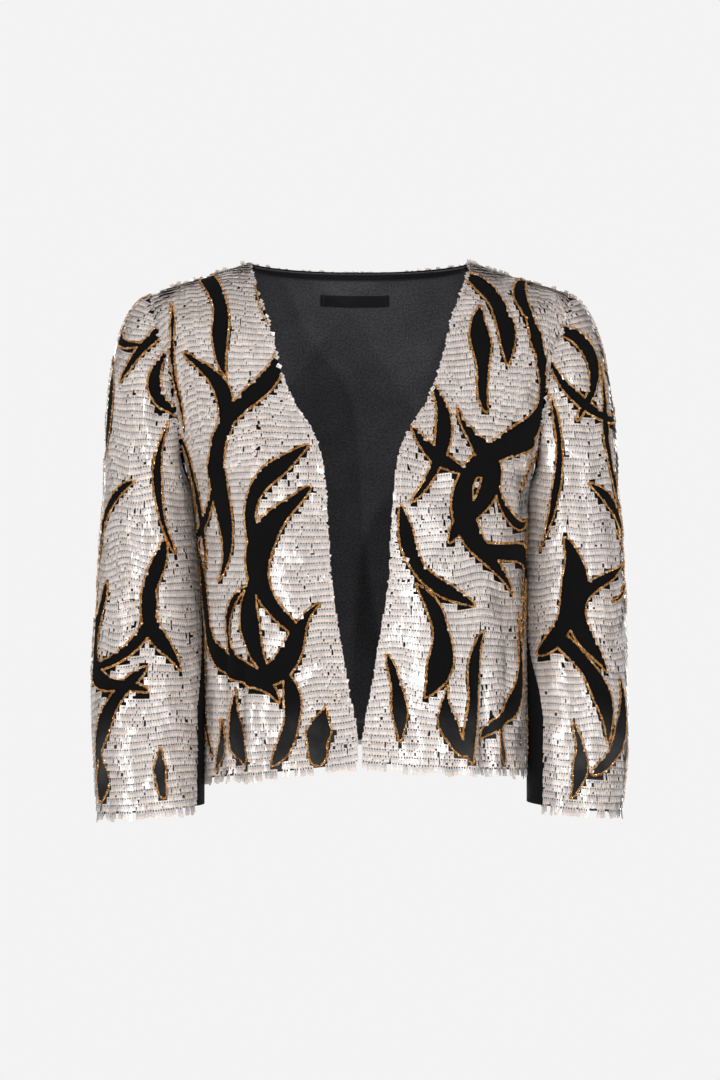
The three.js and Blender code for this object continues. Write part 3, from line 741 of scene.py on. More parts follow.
def sleeve_sheet(name):
    """A panel of a sleeve, worked out a column past each of its seams so that it is square to them."""
    _, side_name, panel = name.split("_")
    side, sections = SIDES[side_name], SLEEVES[side_name]
    wide, over, down = GRID["sleeve" if panel == "top" else "under"]
    gap = SEAM / HALF_GIRTH
    fall = np.concatenate([np.zeros(over), np.linspace(0, 1, down)])[None]
    swing = smooth((fall - FRONT_SEAM_SWING["from"]) / FRONT_SEAM_SWING["over"])
    front_seam = mix(FRONT_SEAM_HIGH, FRONT_SEAM_AT_HEM[side_name], swing)
    if panel == "top":
        start, end = gap - BACK_SEAM, front_seam - gap
    else:
        start, end = front_seam + gap, 2 - BACK_SEAM - gap
    run = mix(start, end, np.arange(-1, wide + 1)[:, None] / (wide - 1))
    turns = np.where(run > 1, run - 2, run)
    turn, angle = turns[:, 0], math.pi * turns

    def ring(z, angle):
        rest = CONTACT["by"] * smooth((CONTACT["from"] - z) / CONTACT["over"])
        rest = rest + ARMPIT["by"] * np.exp(-(((z - ARMPIT["at"]) / ARMPIT["over"]) ** 2))
        wide_here = sections(z, "wide") + (sections(z, "inner") + rest) * smooth(-np.cos(angle))
        x = side * (sections(z, "centre") + wide_here * np.cos(angle))
        return np.stack([x, sections(z, "depth") - sections(z, "deep") * np.sin(angle), z + 0 * x], axis=-1)

    holes = {"front": armhole("front", side), "back": armhole("back", side)}
    share = np.abs(turn)
    seam = np.where(turn[:, None] >= 0, holes["front"](share), holes["back"](share))
    seam[:, 0] += side * SLEEVE_SEAM
    high = (1 + np.cos(angle[:, 0])) / 2
    # The cloth leaves the armhole outwards at the top, and downwards at the underarm.
    level = side * (0.55 + 0.4 * np.cos(angle[:, 0])), -0.6 * np.sin(angle[:, 0])
    leave = unit(np.stack([*level, -mix(1, 0.29, high)], axis=-1))
    biceps = ring(np.full(len(turn), float(BICEPS_Z)), angle[:, 0])
    a = seam + leave * mix(UNDERARM_PUFF, CAP_PUFF[side_name], high)[:, None]
    b = biceps.copy()
    b[:, 2] = BICEPS_Z + mix(*CAP_UPRIGHT, high**1.5)
    w = (np.linspace(0, 1, over + 1)[:-1] ** 1.1)[None, :, None]
    seam, a, b, end_ring = (p[:, None] for p in (seam, a, b, biceps))
    cap = (1 - w) ** 3 * seam + 3 * (1 - w) ** 2 * w * a + 3 * (1 - w) * w**2 * b + w**3 * end_ring
    hem = SLEEVE_HEM_Z - SLEEVE_HEM_TILT * np.cos(angle[:, over:])
    tube = ring(mix(float(BICEPS_Z), hem, fall[:, over:]), angle[:, over:])
    unfolded = np.concatenate([cap, tube], axis=1)

    def core(points):
        z = points[..., 2]
        middle = side * sections(np.clip(z, sections.z[-1], sections.z[0]), "centre")
        return np.stack([middle, 0 * z, np.minimum(z, -130)], axis=-1)

    depth = np.linalg.norm(unfolded - unfolded[:, :1], axis=2)
    push = fold_push(SLEEVE_FOLDS, np.degrees(angle), unfolded[..., 2]) * smooth(depth / FOLD_CLEAR)
    points = unfolded + outwards(unfolded, core) * push[..., None]
    out = outwards(points, core)

    def from_outside(line, run, cols):
        return -np.interp(0, np.interp(cols, np.arange(wide), turn[1:-1]), run)

    return Sheet(points[1:-1], out[1:-1], SLEEVE_FLAT, from_outside)


@functools.lru_cache(maxsize=None)
def sheet_of(name):
    make = {"front": front_sheet, "back": back_sheet, "sleeve": sleeve_sheet}[name.split("_")[0]]
    return make(name)


class Tongues:
    """The bare tongues of one panel, as overlapping round brushes along curved paths on the flat cloth."""

    STEP = 2.0
    SHARE = 0.86  # of a tongue's width in the table, which is measured over the chain on its two edges
    LEAST = 0.5  # the radius at a tongue's two tips
    SWELL = 0.62  # the power of the swell between the tips; less is fuller
    RIPPLE = 0.2
    CHUNK = 4000  # points measured at a time, to save memory

    def __init__(self, rows):
        self.paths = [self._path(dict(zip(TONGUE_COLUMNS, row)), k) for k, row in enumerate(rows)]
        self.centres = np.concatenate([p[0] for p in self.paths])
        self.radii = np.concatenate([p[1] for p in self.paths])
        self.owner = np.concatenate([np.full(len(p[0]), k) for k, p in enumerate(self.paths)])

    def _path(self, r, k):
        x = np.linspace(0, 1, int(r["length"] / self.STEP) + 2)
        heading = np.radians(r["heading"] + r["bend"] * x + r["wave"] * np.sin(2 * math.pi * x))
        way = np.stack([np.sin(heading), np.cos(heading)], axis=-1)
        steps = way * r["length"] / (len(x) - 1)
        gone = np.concatenate([[[0, 0]], np.cumsum(steps[:-1], axis=0)])
        centres = np.array([r["across"], r["down"]]) + gone
        swell = np.sin(math.pi * x ** (math.log(0.5) / math.log(r["fullest"]))) ** self.SWELL
        ripple = 1 + self.RIPPLE * np.sin(2 * math.pi * (1.6 * x + 0.37 * k))
        return centres, self.LEAST + r["width"] / 2 * self.SHARE * swell * ripple, way

    def depth(self, flat, without=None):
        """How far each flat point is from the nearest tongue, negative inside it."""
        centres, radii = self.centres, self.radii
        if without is not None:
            keep = self.owner != without
            centres, radii = centres[keep], radii[keep]
        found = np.full(len(flat), np.inf)
        for start in range(0, len(flat), self.CHUNK):
            part = slice(start, start + self.CHUNK)
            far = np.linalg.norm(flat[part, None] - centres[None], axis=2) - radii[None]
            found[part] = far.min(axis=1)
        return found

    def outline(self, spacing):
        """Flat points and ways along the outer edge of all the tongues together, evenly spaced."""
        points, ways = [], []
        for k, (centres, radii, way) in enumerate(self.paths):
            side = np.stack([way[:, 1], -way[:, 0]], axis=-1)
            loop = np.concatenate([centres + side * radii[:, None], (centres - side * radii[:, None])[::-1]])
            loop = np.concatenate([loop, loop[:1]])
            run = run_of(loop)
            places = np.arange(0, run[-1], spacing)
            even, ahead = read_along(places, run, loop), read_along(places + 0.5, run, loop)
            # What lies within another tongue isn't an edge of the bare area.
            free = self.depth(even, without=k) > -0.4
            points.append(even[free])
            ways.append(unit(ahead - even)[free])
        return np.concatenate(points), np.concatenate(ways)


@functools.lru_cache(maxsize=None)
def tongues_of(name):
    return Tongues(TONGUES[name])


# Meshes


def make_piece(name, node, points, faces, material, maps=None, shade_smooth=True):
    """A piece from points in millimetres, faces of one size, and flat coordinates at each point."""
    faces = np.asarray(faces)
    mesh = bpy.data.meshes.new(name)
    mesh.vertices.add(len(points))
    mesh.vertices.foreach_set("co", (points * MM).ravel())
    mesh.loops.add(faces.size)
    mesh.loops.foreach_set("vertex_index", faces.ravel())
    mesh.polygons.add(len(faces))
    mesh.polygons.foreach_set("loop_start", np.arange(0, faces.size, faces.shape[1]))
    for map_name, values in (maps or {}).items():
        layer = mesh.uv_layers.new(name=map_name)
        layer.data.foreach_set("uv", values[faces.ravel()].ravel())
    mesh.polygons.foreach_set("use_smooth", np.full(len(faces), shade_smooth))
    mesh.materials.append(material)
    mesh.update(calc_edges=True)
    if mesh.validate():
        raise RuntimeError(f"{name} has faulty faces")
    piece = bpy.data.objects.new(name, mesh)
    bpy.context.scene.collection.objects.link(piece)
    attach(piece, "root")
    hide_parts(node)
    return piece


def wall(sheet, thickness, flat=None):
    """Points, faces and flat coordinates of a closed wall of cloth whose outside is the sheet."""
    wide, tall = sheet.wide, sheet.tall
    inside = sheet.points - sheet.out * thickness
    points = np.concatenate([sheet.points.reshape(-1, 3), inside.reshape(-1, 3)])
    ids = np.arange(2 * wide * tall).reshape(2, wide, tall)
    outer, inner = ids

    def quads(a, b, c, d):
        return np.stack([a, b, c, d], axis=-1).reshape(-1, 4)

    faces = [
        quads(outer[:-1, :-1], outer[1:, :-1], outer[1:, 1:], outer[:-1, 1:]),
        quads(inner[:-1, :-1], inner[:-1, 1:], inner[1:, 1:], inner[1:, :-1]),
        quads(outer[1:, 0], outer[:-1, 0], inner[:-1, 0], inner[1:, 0]),
        quads(outer[:-1, -1], outer[1:, -1], inner[1:, -1], inner[:-1, -1]),
        quads(outer[0, :-1], outer[0, 1:], inner[0, 1:], inner[0, :-1]),
        quads(outer[-1, 1:], outer[-1, :-1], inner[-1, :-1], inner[-1, 1:]),
    ]
    faces = np.concatenate(faces)
    across = sheet.points[1, 0] - sheet.points[0, 0]
    down = sheet.points[0, 1] - sheet.points[0, 0]
    if np.dot(np.cross(across, down), sheet.out[0, 0]) < 0:
        faces = faces[:, ::-1]
    if flat is None:
        flat = np.stack([sheet.run(0), sheet.run(1)], axis=-1)
    flat = flat.reshape(-1, 2) * MM
    return points, faces, {"flat": np.concatenate([flat, flat])}


# The corners and faces of a thin closed plate
PLATE_CORNERS = np.array(
    [(-1, 0, -1), (1, 0, -1), (1, 1, -1), (-1, 1, -1), (-1, 0, 1), (1, 0, 1), (1, 1, 1), (-1, 1, 1)], float
)
PLATE_FACES = np.array([(4, 5, 6, 7), (0, 3, 2, 1), (0, 1, 5, 4), (1, 2, 6, 5), (2, 3, 7, 6), (3, 0, 4, 7)])


def plates(point, ways, width, above, below, thickness, turns):
    """Thin closed plates hung at points: each runs from a little above its point to its tip below it."""
    across, down, out = ways
    yaw, roll, pitch = (t[:, None] for t in turns)
    across, down = turned(across, down, yaw)
    across, out = turned(across, out, roll)
    down, out = turned(down, out, pitch)
    c = PLATE_CORNERS[None]
    side = c[..., 0:1] * (width / 2)[:, None, None]
    along = (c[..., 1] * (above + below)[:, None] - above[:, None])[..., None]
    lift = c[..., 2:3] * thickness / 2
    corners = point[:, None] + across[:, None] * side + down[:, None] * along + out[:, None] * lift
    faces = PLATE_FACES[None] + 8 * np.arange(len(point))[:, None, None]
    place = np.broadcast_to((c[..., :2] + [1, 0]) / [2, 1], (len(point), 8, 2))
    return corners.reshape(-1, 3), faces.reshape(-1, 4), place.reshape(-1, 2)


def hang(down, out):
    """The way that a small piece hangs from the cloth: mostly down it, and partly straight down."""
    fall = np.array([0, 0, -1.0]) + out * out[:, 2:3]
    down = square_to(out, unit(0.6 * down + fall))
    return np.cross(down, out), down


def drift(rng, reach):
    """A smooth uneven field over the flat cloth, mostly from -1 to 1, that changes over the given reach."""
    turn = 2 * math.pi
    waves = [(rng.uniform(0.5, 1.7) / reach, rng.uniform(0, turn), rng.uniform(0, 6.3)) for _ in range(7)]

    def value(x, y):
        total = sum(np.sin(turn * f * (x * math.cos(a) + y * math.sin(a)) + p) for f, a, p in waves)
        return total / 2.6

    return value


class SequinRows:
    """The holes of a panel's sequins, row by row, with the bare tongues left out."""

    def __init__(self, name, look, rng):
        sheet, tongues = sheet_of(name), tongues_of(name)
        pitch, spacing = look.row_pitch / MM, look.spacing / MM
        found = []
        sway = drift(rng, ROW_WAVE["over"])
        for n, level in enumerate(np.arange(sheet.hem_down - FIRST_ROW, sheet.down.min() + 1, -pitch)):
            for cols, rows, across in sheet.stretches(level):
                places = np.arange(across[0] + rng.uniform(0, spacing) * 0.7, across[-1], spacing)
                if len(places) == 0:
                    continue
                places = places + rng.normal(0, PLACE_ERROR, len(places))
                i, j = np.interp(places, across, cols), np.interp(places, across, rows)
                # The rows rise and fall a little with the drape, but not at the hem.
                wave = ROW_WAVE["push"] * sway(places, np.full(len(places), level * 0.35))
                wave = wave * smooth((sheet.hem_down - level) / ROW_WAVE["calm"])
                inset = np.minimum(places - across[0], across[-1] - places)
                spots = (places, level + wave, i, j, np.full(len(places), n), inset, wave)
                found.append(np.stack(spots, axis=-1))
        spots = np.concatenate(found)
        flat = spots[:, :2]
        tips = flat + [0, look.reach / MM * TIP_SHARE]
        bare = (tongues.depth(flat) < HOLE_CLEAR) | (tongues.depth(tips) < -TIP_OVER)
        ragged = (spots[:, 4] == 0) & (drift(rng, RAGGED["over"])(*flat.T) > RAGGED["from"])
        # Only every second sequin can drop off, so that no two beside each other are missing.
        kept = rng.random(len(spots)) > look.dropped * 2 * (np.arange(len(spots)) % 2)
        spots = spots[~bare & ~ragged & kept]
        self.across, self.down, self.i, self.j, self.row, self.inset, wave = spots.T
        self.point, _, down, self.out = sheet.frame_at(self.i, self.j)
        self.point = self.point + down * wave[:, None]
        self.ways = (*hang(down, self.out), self.out)


def edge_sequins(name, look, rng):
    """Sequins that stand along a panel's top edge, where the cloth turns over, and along a front's edge."""
    sheet = sheet_of(name)
    run = run_of(sheet.points[:, 0])
    places = np.arange(2, run[-1] - 2, look.spacing / MM * 1.15)
    places = places[rng.random(len(places)) > TOP_BARE]
    i, j = np.interp(places, run, np.arange(sheet.wide)), np.full(len(places), TOP_ROW)
    standing = np.full(len(places), True)
    if name.startswith("front"):
        run = run_of(sheet.points[0])
        places = np.arange(6, run[-1] - 4, look.row_pitch / MM / 1.4)
        places = places[rng.random(len(places)) > FRONT_BARE]
        i = np.concatenate([i, np.full(len(places), FRONT_COLUMN)])
        j = np.concatenate([j, np.interp(places, run, np.arange(sheet.tall))])
        standing = np.concatenate([standing, np.full(len(places), False)])
    point, _, down, out = sheet.frame_at(i, j)
    further = np.minimum(np.ceil(i).astype(int) + 2, sheet.wide - 1)
    inwards = unit(sheet.points[further, j.astype(int)] - point)
    lean = rng.uniform(0.2, 1.0, len(i))[:, None]
    sag, spread = rng.uniform(0.5, 1, len(i))[:, None], rng.uniform(0.1, 1.1, len(i))[:, None]
    upright, edgeways = unit(-down * (1.1 - lean) + out * lean * 0.9), unit(down * sag - inwards * spread)
    way = np.where(standing[:, None], upright, edgeways)
    out = square_to(way, out)
    return point, (np.cross(way, out), way, out)


def make_sequins(name, look, material):
    """All the sequins of one panel, as thin plates."""
    rng = np.random.default_rng([look.seed, PANELS.index(name)])
    rows = SequinRows(name, look, rng)
    count = len(rows.point)
    fringed = rows.row == 0

    def drifting(row):
        return row["drift"] * drift(rng, row["over"])(rows.across, rows.down)

    roll, tip_lift = ROLL["mean"] + drifting(ROLL), TIP_LIFT["mean"] + drifting(TIP_LIFT)
    reach = look.reach / MM + drifting(REACH) + rng.normal(0, REACH["error"], count)
    fringe = FRINGE["mean"] + drifting(FRINGE) + rng.uniform(-FRINGE["error"], FRINGE["error"], count)
    reach += np.where(fringed, np.clip(fringe, *FRINGE["limits"]), 0)
    # Where a sequin has curled up, the black cloth shows below it as a short dash.
    curled = (rng.random(count) < 2 * look.curled) & (np.arange(count) % 2 == 0) & ~fringed
    reach *= np.where(curled, rng.uniform(*CURLED_REACH, count), 1)
    loose = rng.random(count) < LOOSE["share"]
    yaw = rng.normal(0, YAW_ERROR["all"], count)
    yaw += np.where(loose, rng.normal(0, YAW_ERROR["loose"], count), 0)
    yaw += np.where(fringed, rng.normal(0, YAW_ERROR["fringe"], count), 0)
    roll = np.radians(roll + rng.normal(0, ROLL["error"], count))
    pitch = np.arctan2(tip_lift, look.reach / MM)
    pitch = pitch + np.radians(rng.normal(0, PITCH_ERROR, count)) + np.where(loose, LOOSE["pitch"], 0)
    slim = rng.random(count) < SLIM["share"]
    share = np.where(slim, rng.uniform(*SLIM["width"], count), 1 + rng.normal(0, WIDTH_ERROR, count))
    width = look.width / MM * share - AT_SIDE["narrower"] * (rows.inset < AT_SIDE["within"])
    yaw += np.where(slim, rng.normal(0, YAW_ERROR["slim"], count), 0)
    base = rows.point + rows.out * (CLOTH - WALL + SEQUIN_LIFT)
    above, thickness = np.full(count, HOLE_FROM_TOP), look.thickness / MM
    corners, faces, place = plates(base, rows.ways, width, above, reach, thickness, (yaw, roll, pitch))
    tone = np.stack([rng.random(count), TONE["mean"] + drifting(TONE)], axis=-1)

    point, ways = edge_sequins(name, look, rng)
    extra = len(point)
    turns = [rng.normal(0, error, extra) for error in EDGE_TURNS]
    base = point + ways[2] * (CLOTH - WALL + EDGE_LIFT)
    width, above = np.full(extra, look.width / MM * 0.95), np.full(extra, HOLE_FROM_TOP)
    more = plates(base, ways, width, above, rng.uniform(*EDGE_REACH, extra), thickness, turns)
    points = np.concatenate([corners, more[0]])
    all_faces = np.concatenate([faces, more[1] + len(corners)])
    tones = np.concatenate([tone, np.stack([rng.random(extra), np.full(extra, TONE["mean"])], axis=-1)])
    maps = {"plate": np.concatenate([place, more[2]]), "tone": np.repeat(tones, 8, axis=0)}
    return make_piece(
        f"sequins_{name}", name, points, all_faces, material, maps, shade_smooth=False
    )


def make_chain(name, look, material):
    """Gold rings, each partly over the next, round the bare tongues."""
    rng = np.random.default_rng([look.seed, 50 + PANELS.index(name)])
    sheet, tongues = sheet_of(name), tongues_of(name)
    flat, way = tongues.outline(look.spacing / MM)
    flat = flat + rng.normal(0, RING_PLACE_ERROR, flat.shape)
    i, j = sheet.locate(flat[:, 0], flat[:, 1])
    inside = ~np.isnan(i) & ~np.isnan(j)
    # The rings stay off the panel's own edges.
    inside &= (i > 0.3) & (i < sheet.wide - 1.3) & (j < sheet.tall - 1.2)
    i, j, way = i[inside], j[inside], way[inside]
    point, across, down, out = sheet.frame_at(i, j)
    along = unit(across * sheet.hand * way[:, :1] + down * way[:, 1:])
    count, sides = len(i), RING_SIDES
    tilt = np.radians(RING_TILT + rng.normal(0, RING_ERROR, count))[:, None]
    sway = np.radians(rng.normal(0, RING_ERROR, count))[:, None]
    side = np.cross(out, along)
    along, out = turned(along, out, tilt)
    side, out = turned(side, out, sway)
    centre = point + out * (CLOTH - WALL + RING_LIFT)
    # Three loops make a ring: round its outside, along its crest and round its hole.
    outer, hole = look.ring_size / MM / 2, look.hole_size / MM / 2
    radii = np.array([outer, (outer + hole) / 2 + 0.06, hole])
    lifts = np.array(RING_PROFILE)
    angle = 2 * math.pi * np.arange(sides) / sides
    loop = along[:, None] * np.cos(angle)[None, :, None] + side[:, None] * np.sin(angle)[None, :, None]
    points = centre[:, None, None] + loop[:, :, None] * radii[None, None, :, None]
    points = points + (out[:, None, None] * lifts[None, None, :, None])
    a = np.arange(sides * 3).reshape(sides, 3)
    b = np.roll(a, -1, axis=0)
    one = np.concatenate(
        [np.stack([a[:, k], b[:, k], b[:, (k + 1) % 3], a[:, (k + 1) % 3]], axis=-1) for k in range(3)]
    )
    faces = one[None] + sides * 3 * np.arange(count)[:, None, None]
    tone = np.repeat(rng.random((count, 2)), sides * 3, axis=0)
    points, faces = points.reshape(-1, 3), faces.reshape(-1, 4)
    return make_piece(f"chain_{name}", name, points, faces, material, {"tone": tone})


def make_cloth(name, material):
    sheet = sheet_of(name)
    flat = np.stack([sheet.run(0), sheet.down], axis=-1)
    # Every second column is enough under the sequins.
    under = Sheet(sheet.points[::2], sheet.out[::2]).moved(CLOTH - WALL)
    points, faces, maps = wall(under, CLOTH, flat[::2])
    return make_piece(f"cloth_{name}", name, points, faces, material, maps)


# Node trees


def node(tree, kind, inputs=None, **settings):
    """A new node, with its settings made and its inputs set, or linked where the value is a socket."""
    made = tree.nodes.new(kind)
    for name, value in settings.items():
        setattr(made, name, value)
    for name, value in (inputs or {}).items():
        if isinstance(value, bpy.types.NodeSocket):
            tree.links.new(value, made.inputs[name])
        else:
            made.inputs[name].default_value = value
    return made


def maths(tree, operation, *values, clamp=False):
    made = node(tree, "ShaderNodeMath", dict(enumerate(values)), operation=operation, use_clamp=clamp)
    return made.outputs[0]


def blend(tree, factor, a, b):
    """Mixes two colours. The node's colour sockets have to be told by their places."""
    return node(tree, "ShaderNodeMix", {0: factor, 6: a, 7: b}, data_type="RGBA").outputs[2]


def split(tree, vector):
    return node(tree, "ShaderNodeSeparateXYZ", {"Vector": vector}).outputs


def noise(tree, scale, detail, vector=None):
    place = {} if vector is None else {"Vector": vector}
    return node(tree, "ShaderNodeTexNoise", {"Scale": scale, "Detail": detail, **place}).outputs["Fac"]


def ramp(tree, value, low, high, to_low=0.0, to_high=1.0):
    inputs = {"Value": value, "From Min": low, "From Max": high, "To Min": to_low, "To Max": to_high}
    return node(tree, "ShaderNodeMapRange", inputs, interpolation_type="SMOOTHSTEP").outputs[0]


def new_group(name, inputs, outputs):
    """A shader node group with its input and output nodes."""
    tree = bpy.data.node_groups.new(name, "ShaderNodeTree")
    for direction, sockets in (("INPUT", inputs), ("OUTPUT", outputs)):
        for socket_name, kind, default in sockets:
            socket = tree.interface.new_socket(socket_name, in_out=direction, socket_type=f"NodeSocket{kind}")
            if default is not None:
                socket.default_value = default
    return tree, tree.nodes.new("NodeGroupInput"), tree.nodes.new("NodeGroupOutput")


def woven_group():
    """Crossing threads, with colour that varies from thread to thread and in soft clouds."""
    name = "Woven threads"
    if name in bpy.data.node_groups:
        return bpy.data.node_groups[name]
    tree, given, result = new_group(
        name,
        (
            ("Flat", "Vector", None),
            ("Threads per metre", "Float", 2500.0),
            ("Colour", "Color", (0.02, 0.02, 0.02, 1)),
            ("Thread colour", "Color", (0.04, 0.04, 0.04, 1)),
            ("Clouds", "Float", 0.2),
            ("Speckle", "Float", 0.2),
        ),
        (("Colour", "Color", None), ("Height", "Float", None), ("Roughness", "Float", None)),
    )
    flat, threads = given.outputs["Flat"], given.outputs["Threads per metre"]
    parts = split(tree, flat)
    turn = maths(tree, "MULTIPLY", threads, 2 * math.pi)
    warp = maths(tree, "SINE", maths(tree, "MULTIPLY", parts["X"], turn))
    weft = maths(tree, "SINE", maths(tree, "MULTIPLY", parts["Y"], turn))
    crossing = maths(tree, "MULTIPLY", warp, weft)
    clouds = noise(tree, 28.0, 4.0, flat)
    speckle = noise(tree, maths(tree, "MULTIPLY", threads, 0.35), 2.0, flat)
    share = maths(tree, "MULTIPLY_ADD", crossing, 0.28, 0.4)
    for value, amount, most in ((clouds, "Clouds", 3.0), (speckle, "Speckle", 4.0)):
        uneven = maths(tree, "MULTIPLY", maths(tree, "SUBTRACT", value, 0.5), given.outputs[amount])
        share = maths(tree, "MULTIPLY_ADD", uneven, most, share)
    colour = blend(tree, share, given.outputs["Colour"], given.outputs["Thread colour"])
    height = maths(tree, "ADD", crossing, maths(tree, "MULTIPLY", speckle, 0.8))
    rough = maths(tree, "MULTIPLY_ADD", clouds, 0.12, 0.78)
    for socket, value in (("Colour", colour), ("Height", height), ("Roughness", rough)):
        tree.links.new(value, result.inputs[socket])
    return tree


def tone_group():
    """Uneven colour from piece to piece and in soft clouds, with a little dulling. On the gold rings the
    darker colour is painted shade.
    """
    name = "Uneven finish"
    if name in bpy.data.node_groups:
        return bpy.data.node_groups[name]
    tree, given, result = new_group(
        name,
        (
            ("Tone", "Float", 0.5),
            ("Place", "Vector", None),
            ("Colour", "Color", (0.5, 0.5, 0.5, 1)),
            ("Dark colour", "Color", (0.2, 0.2, 0.2, 1)),
            ("Share", "Float", 0.3),
            ("Roughness", "Float", 0.3),
        ),
        (("Colour", "Color", None), ("Roughness", "Float", None)),
    )
    clouds = noise(tree, 45.0, 3.0, given.outputs["Place"])
    mixed = maths(tree, "ADD", given.outputs["Tone"], maths(tree, "MULTIPLY", clouds, 0.6))
    share = maths(tree, "MULTIPLY", maths(tree, "SUBTRACT", mixed, 0.4, clamp=True), given.outputs["Share"])
    colour = blend(tree, share, given.outputs["Colour"], given.outputs["Dark colour"])
    rough = maths(tree, "ADD", given.outputs["Roughness"], maths(tree, "MULTIPLY", share, 0.25))
    tree.links.new(colour, result.inputs["Colour"])
    tree.links.new(rough, result.inputs["Roughness"])
    return tree


def new_material(name, constants):
    material = bpy.data.materials.new(name)
    material.use_nodes = True
    tree = material.node_tree
    shader = tree.nodes["Principled BSDF"]
    for socket, value in constants.items():
        shader.inputs[socket].default_value = value
    return material, tree, shader


def feed(tree, shader, colour, roughness=None, height=None, strength=0.5, distance=0.0003):
    for name, value in (("Base Color", colour), ("Roughness", roughness)):
        if value is not None:
            tree.links.new(value, shader.inputs[name])
    if height is not None:
        bump = node(tree, "ShaderNodeBump", {"Height": height, "Strength": strength, "Distance": distance})
        tree.links.new(bump.outputs["Normal"], shader.inputs["Normal"])


def rgba(colour):
    return (*colour, 1)


def uv(tree, name):
    return node(tree, "ShaderNodeUVMap", uv_map=name).outputs["UV"]


def woven_material(name, colour, thread, threads, constants, clouds=0.2, speckle=0.2, strength=0.4, hem=None):
    """A plain woven cloth. Towards the hem it can turn sheerer, so paler, as a share of a second colour."""
    material, tree, shader = new_material(name, constants)
    flat = uv(tree, "flat")
    inputs = {"Flat": flat, "Threads per metre": threads, "Colour": rgba(colour)}
    inputs |= {"Thread colour": rgba(thread), "Clouds": clouds, "Speckle": speckle}
    woven = node(tree, "ShaderNodeGroup", inputs, node_tree=woven_group()).outputs
    out = woven["Colour"]
    if hem:
        near = ramp(tree, split(tree, flat)["Y"], hem["from"], hem["to"])
        ragged = noise(tree, 24.0, 3.0, flat)
        share = maths(tree, "MULTIPLY", near, ramp(tree, ragged, 0.3, 0.7, 0.25, 1.0))
        out = blend(tree, share, out, rgba(hem["colour"]))
    feed(tree, shader, out, woven["Roughness"], woven["Height"], strength)
    return material


def sequin_material(look):
    """Pearly plates: pinkish at both ends, with a greyer middle band of painted shade and painted reflection,
    a pierced hole, and darker rims of painted shade.
    """
    material, tree, shader = new_material(
        "Pearl sequins", {"IOR": 1.6, "Coat IOR": 1.6, "Coat Roughness": 0.035, "Specular IOR Level": 0.55}
    )
    plate, tone = uv(tree, "plate"), uv(tree, "tone")
    xy, tones = split(tree, plate), split(tree, tone)
    x, y, own, cloud = xy["X"], xy["Y"], tones["X"], tones["Y"]
    # The greyer band across each plate's middle is painted: shade cast by the row above and a painted
    # reflection of the studio.
    shifted = maths(tree, "ADD", y, maths(tree, "MULTIPLY_ADD", own, 0.1, -0.05))
    rise, fall = ramp(tree, shifted, 0.24, 0.4), ramp(tree, shifted, 0.56, 0.74, 1.0, 0.0)
    middle = maths(tree, "MULTIPLY", rise, fall)
    colour = blend(tree, middle, rgba(look.pearl), rgba(look.pearl_painted_shade))
    inputs = {"Tone": own, "Place": tone, "Colour": colour, "Dark colour": rgba(look.pearl_dark)}
    inputs |= {"Share": 0.42, "Roughness": 0.15}
    uneven = node(tree, "ShaderNodeGroup", inputs, node_tree=tone_group()).outputs
    colour = blend(tree, maths(tree, "MULTIPLY", cloud, 0.16), uneven["Colour"], rgba(look.pearl_painted_shade))
    # The hole is drawn low enough to show below the tips of the row above.
    hole_x = maths(tree, "MULTIPLY", maths(tree, "SUBTRACT", x, HOLE_AT[0]), look.width / MM)
    hole_y = maths(tree, "SUBTRACT", y, HOLE_AT[1])
    hole_y = maths(tree, "MULTIPLY", hole_y, look.reach / MM + HOLE_FROM_TOP)
    squares = maths(tree, "ADD", maths(tree, "POWER", hole_x, 2.0), maths(tree, "POWER", hole_y, 2.0))
    hole = ramp(tree, maths(tree, "SQRT", squares), *HOLE_FADE, 1.0, 0.0)
    # The darker rims are painted shade in the thin lines between neighbouring plates; the hole shows the
    # black cloth.
    edge = maths(tree, "ABSOLUTE", maths(tree, "SUBTRACT", x, 0.5))
    rim = ramp(tree, edge, 0.44, 0.5, 0.0, 0.7)
    dark = maths(tree, "MAXIMUM", hole, rim)
    colour = blend(tree, dark, colour, rgba(look.hole_and_painted_rim_shade))
    cup = maths(tree, "MULTIPLY", maths(tree, "POWER", maths(tree, "SUBTRACT", y, 0.5), 2.0), 3.0)
    bowl = maths(tree, "ADD", cup, maths(tree, "MULTIPLY", maths(tree, "POWER", edge, 2.0), 2.0))
    height = maths(tree, "ADD", bowl, maths(tree, "MULTIPLY", hole, -0.6))
    rough = maths(tree, "ADD", uneven["Roughness"], maths(tree, "MULTIPLY", hole, 0.5))
    feed(tree, shader, colour, rough, height, 0.3, 0.0003)
    tree.links.new(maths(tree, "MULTIPLY_ADD", hole, -0.8, 0.8), shader.inputs["Coat Weight"])
    return material


def gold_material(look):
    material, tree, shader = new_material("Gold rings", {"Metallic": 1.0})
    tone = uv(tree, "tone")
    parts = split(tree, tone)
    # Rings that lean to the dark gold are painted shade.
    inputs = {"Tone": parts["X"], "Place": tone, "Colour": rgba(look.gold)}
    inputs |= {"Dark colour": rgba(look.gold_painted_shade), "Share": 1.0, "Roughness": 0.12}
    uneven = node(tree, "ShaderNodeGroup", inputs, node_tree=tone_group()).outputs
    # Some rings are painted paler, as painted highlights.
    pale = ramp(tree, parts["Y"], 0.72, 1.0, 0.0, 0.75)
    colour = blend(tree, pale, uneven["Colour"], rgba(look.gold_painted_highlight))
    feed(tree, shader, colour, uneven["Roughness"], noise(tree, 900.0, 2.0), 0.25, 0.0001)
    return material


# What a user may change


def colour_of(name, description, default):
    return FloatVectorProperty(
        name=name, description=description, subtype="COLOR", size=3, min=0, max=1, default=default
    )


def length_of(name, description, default, low, high):
    limits = {"min": low, "max": high, "unit": "LENGTH", "subtype": "DISTANCE"}
    return FloatProperty(name=name, description=description, default=default, **limits)


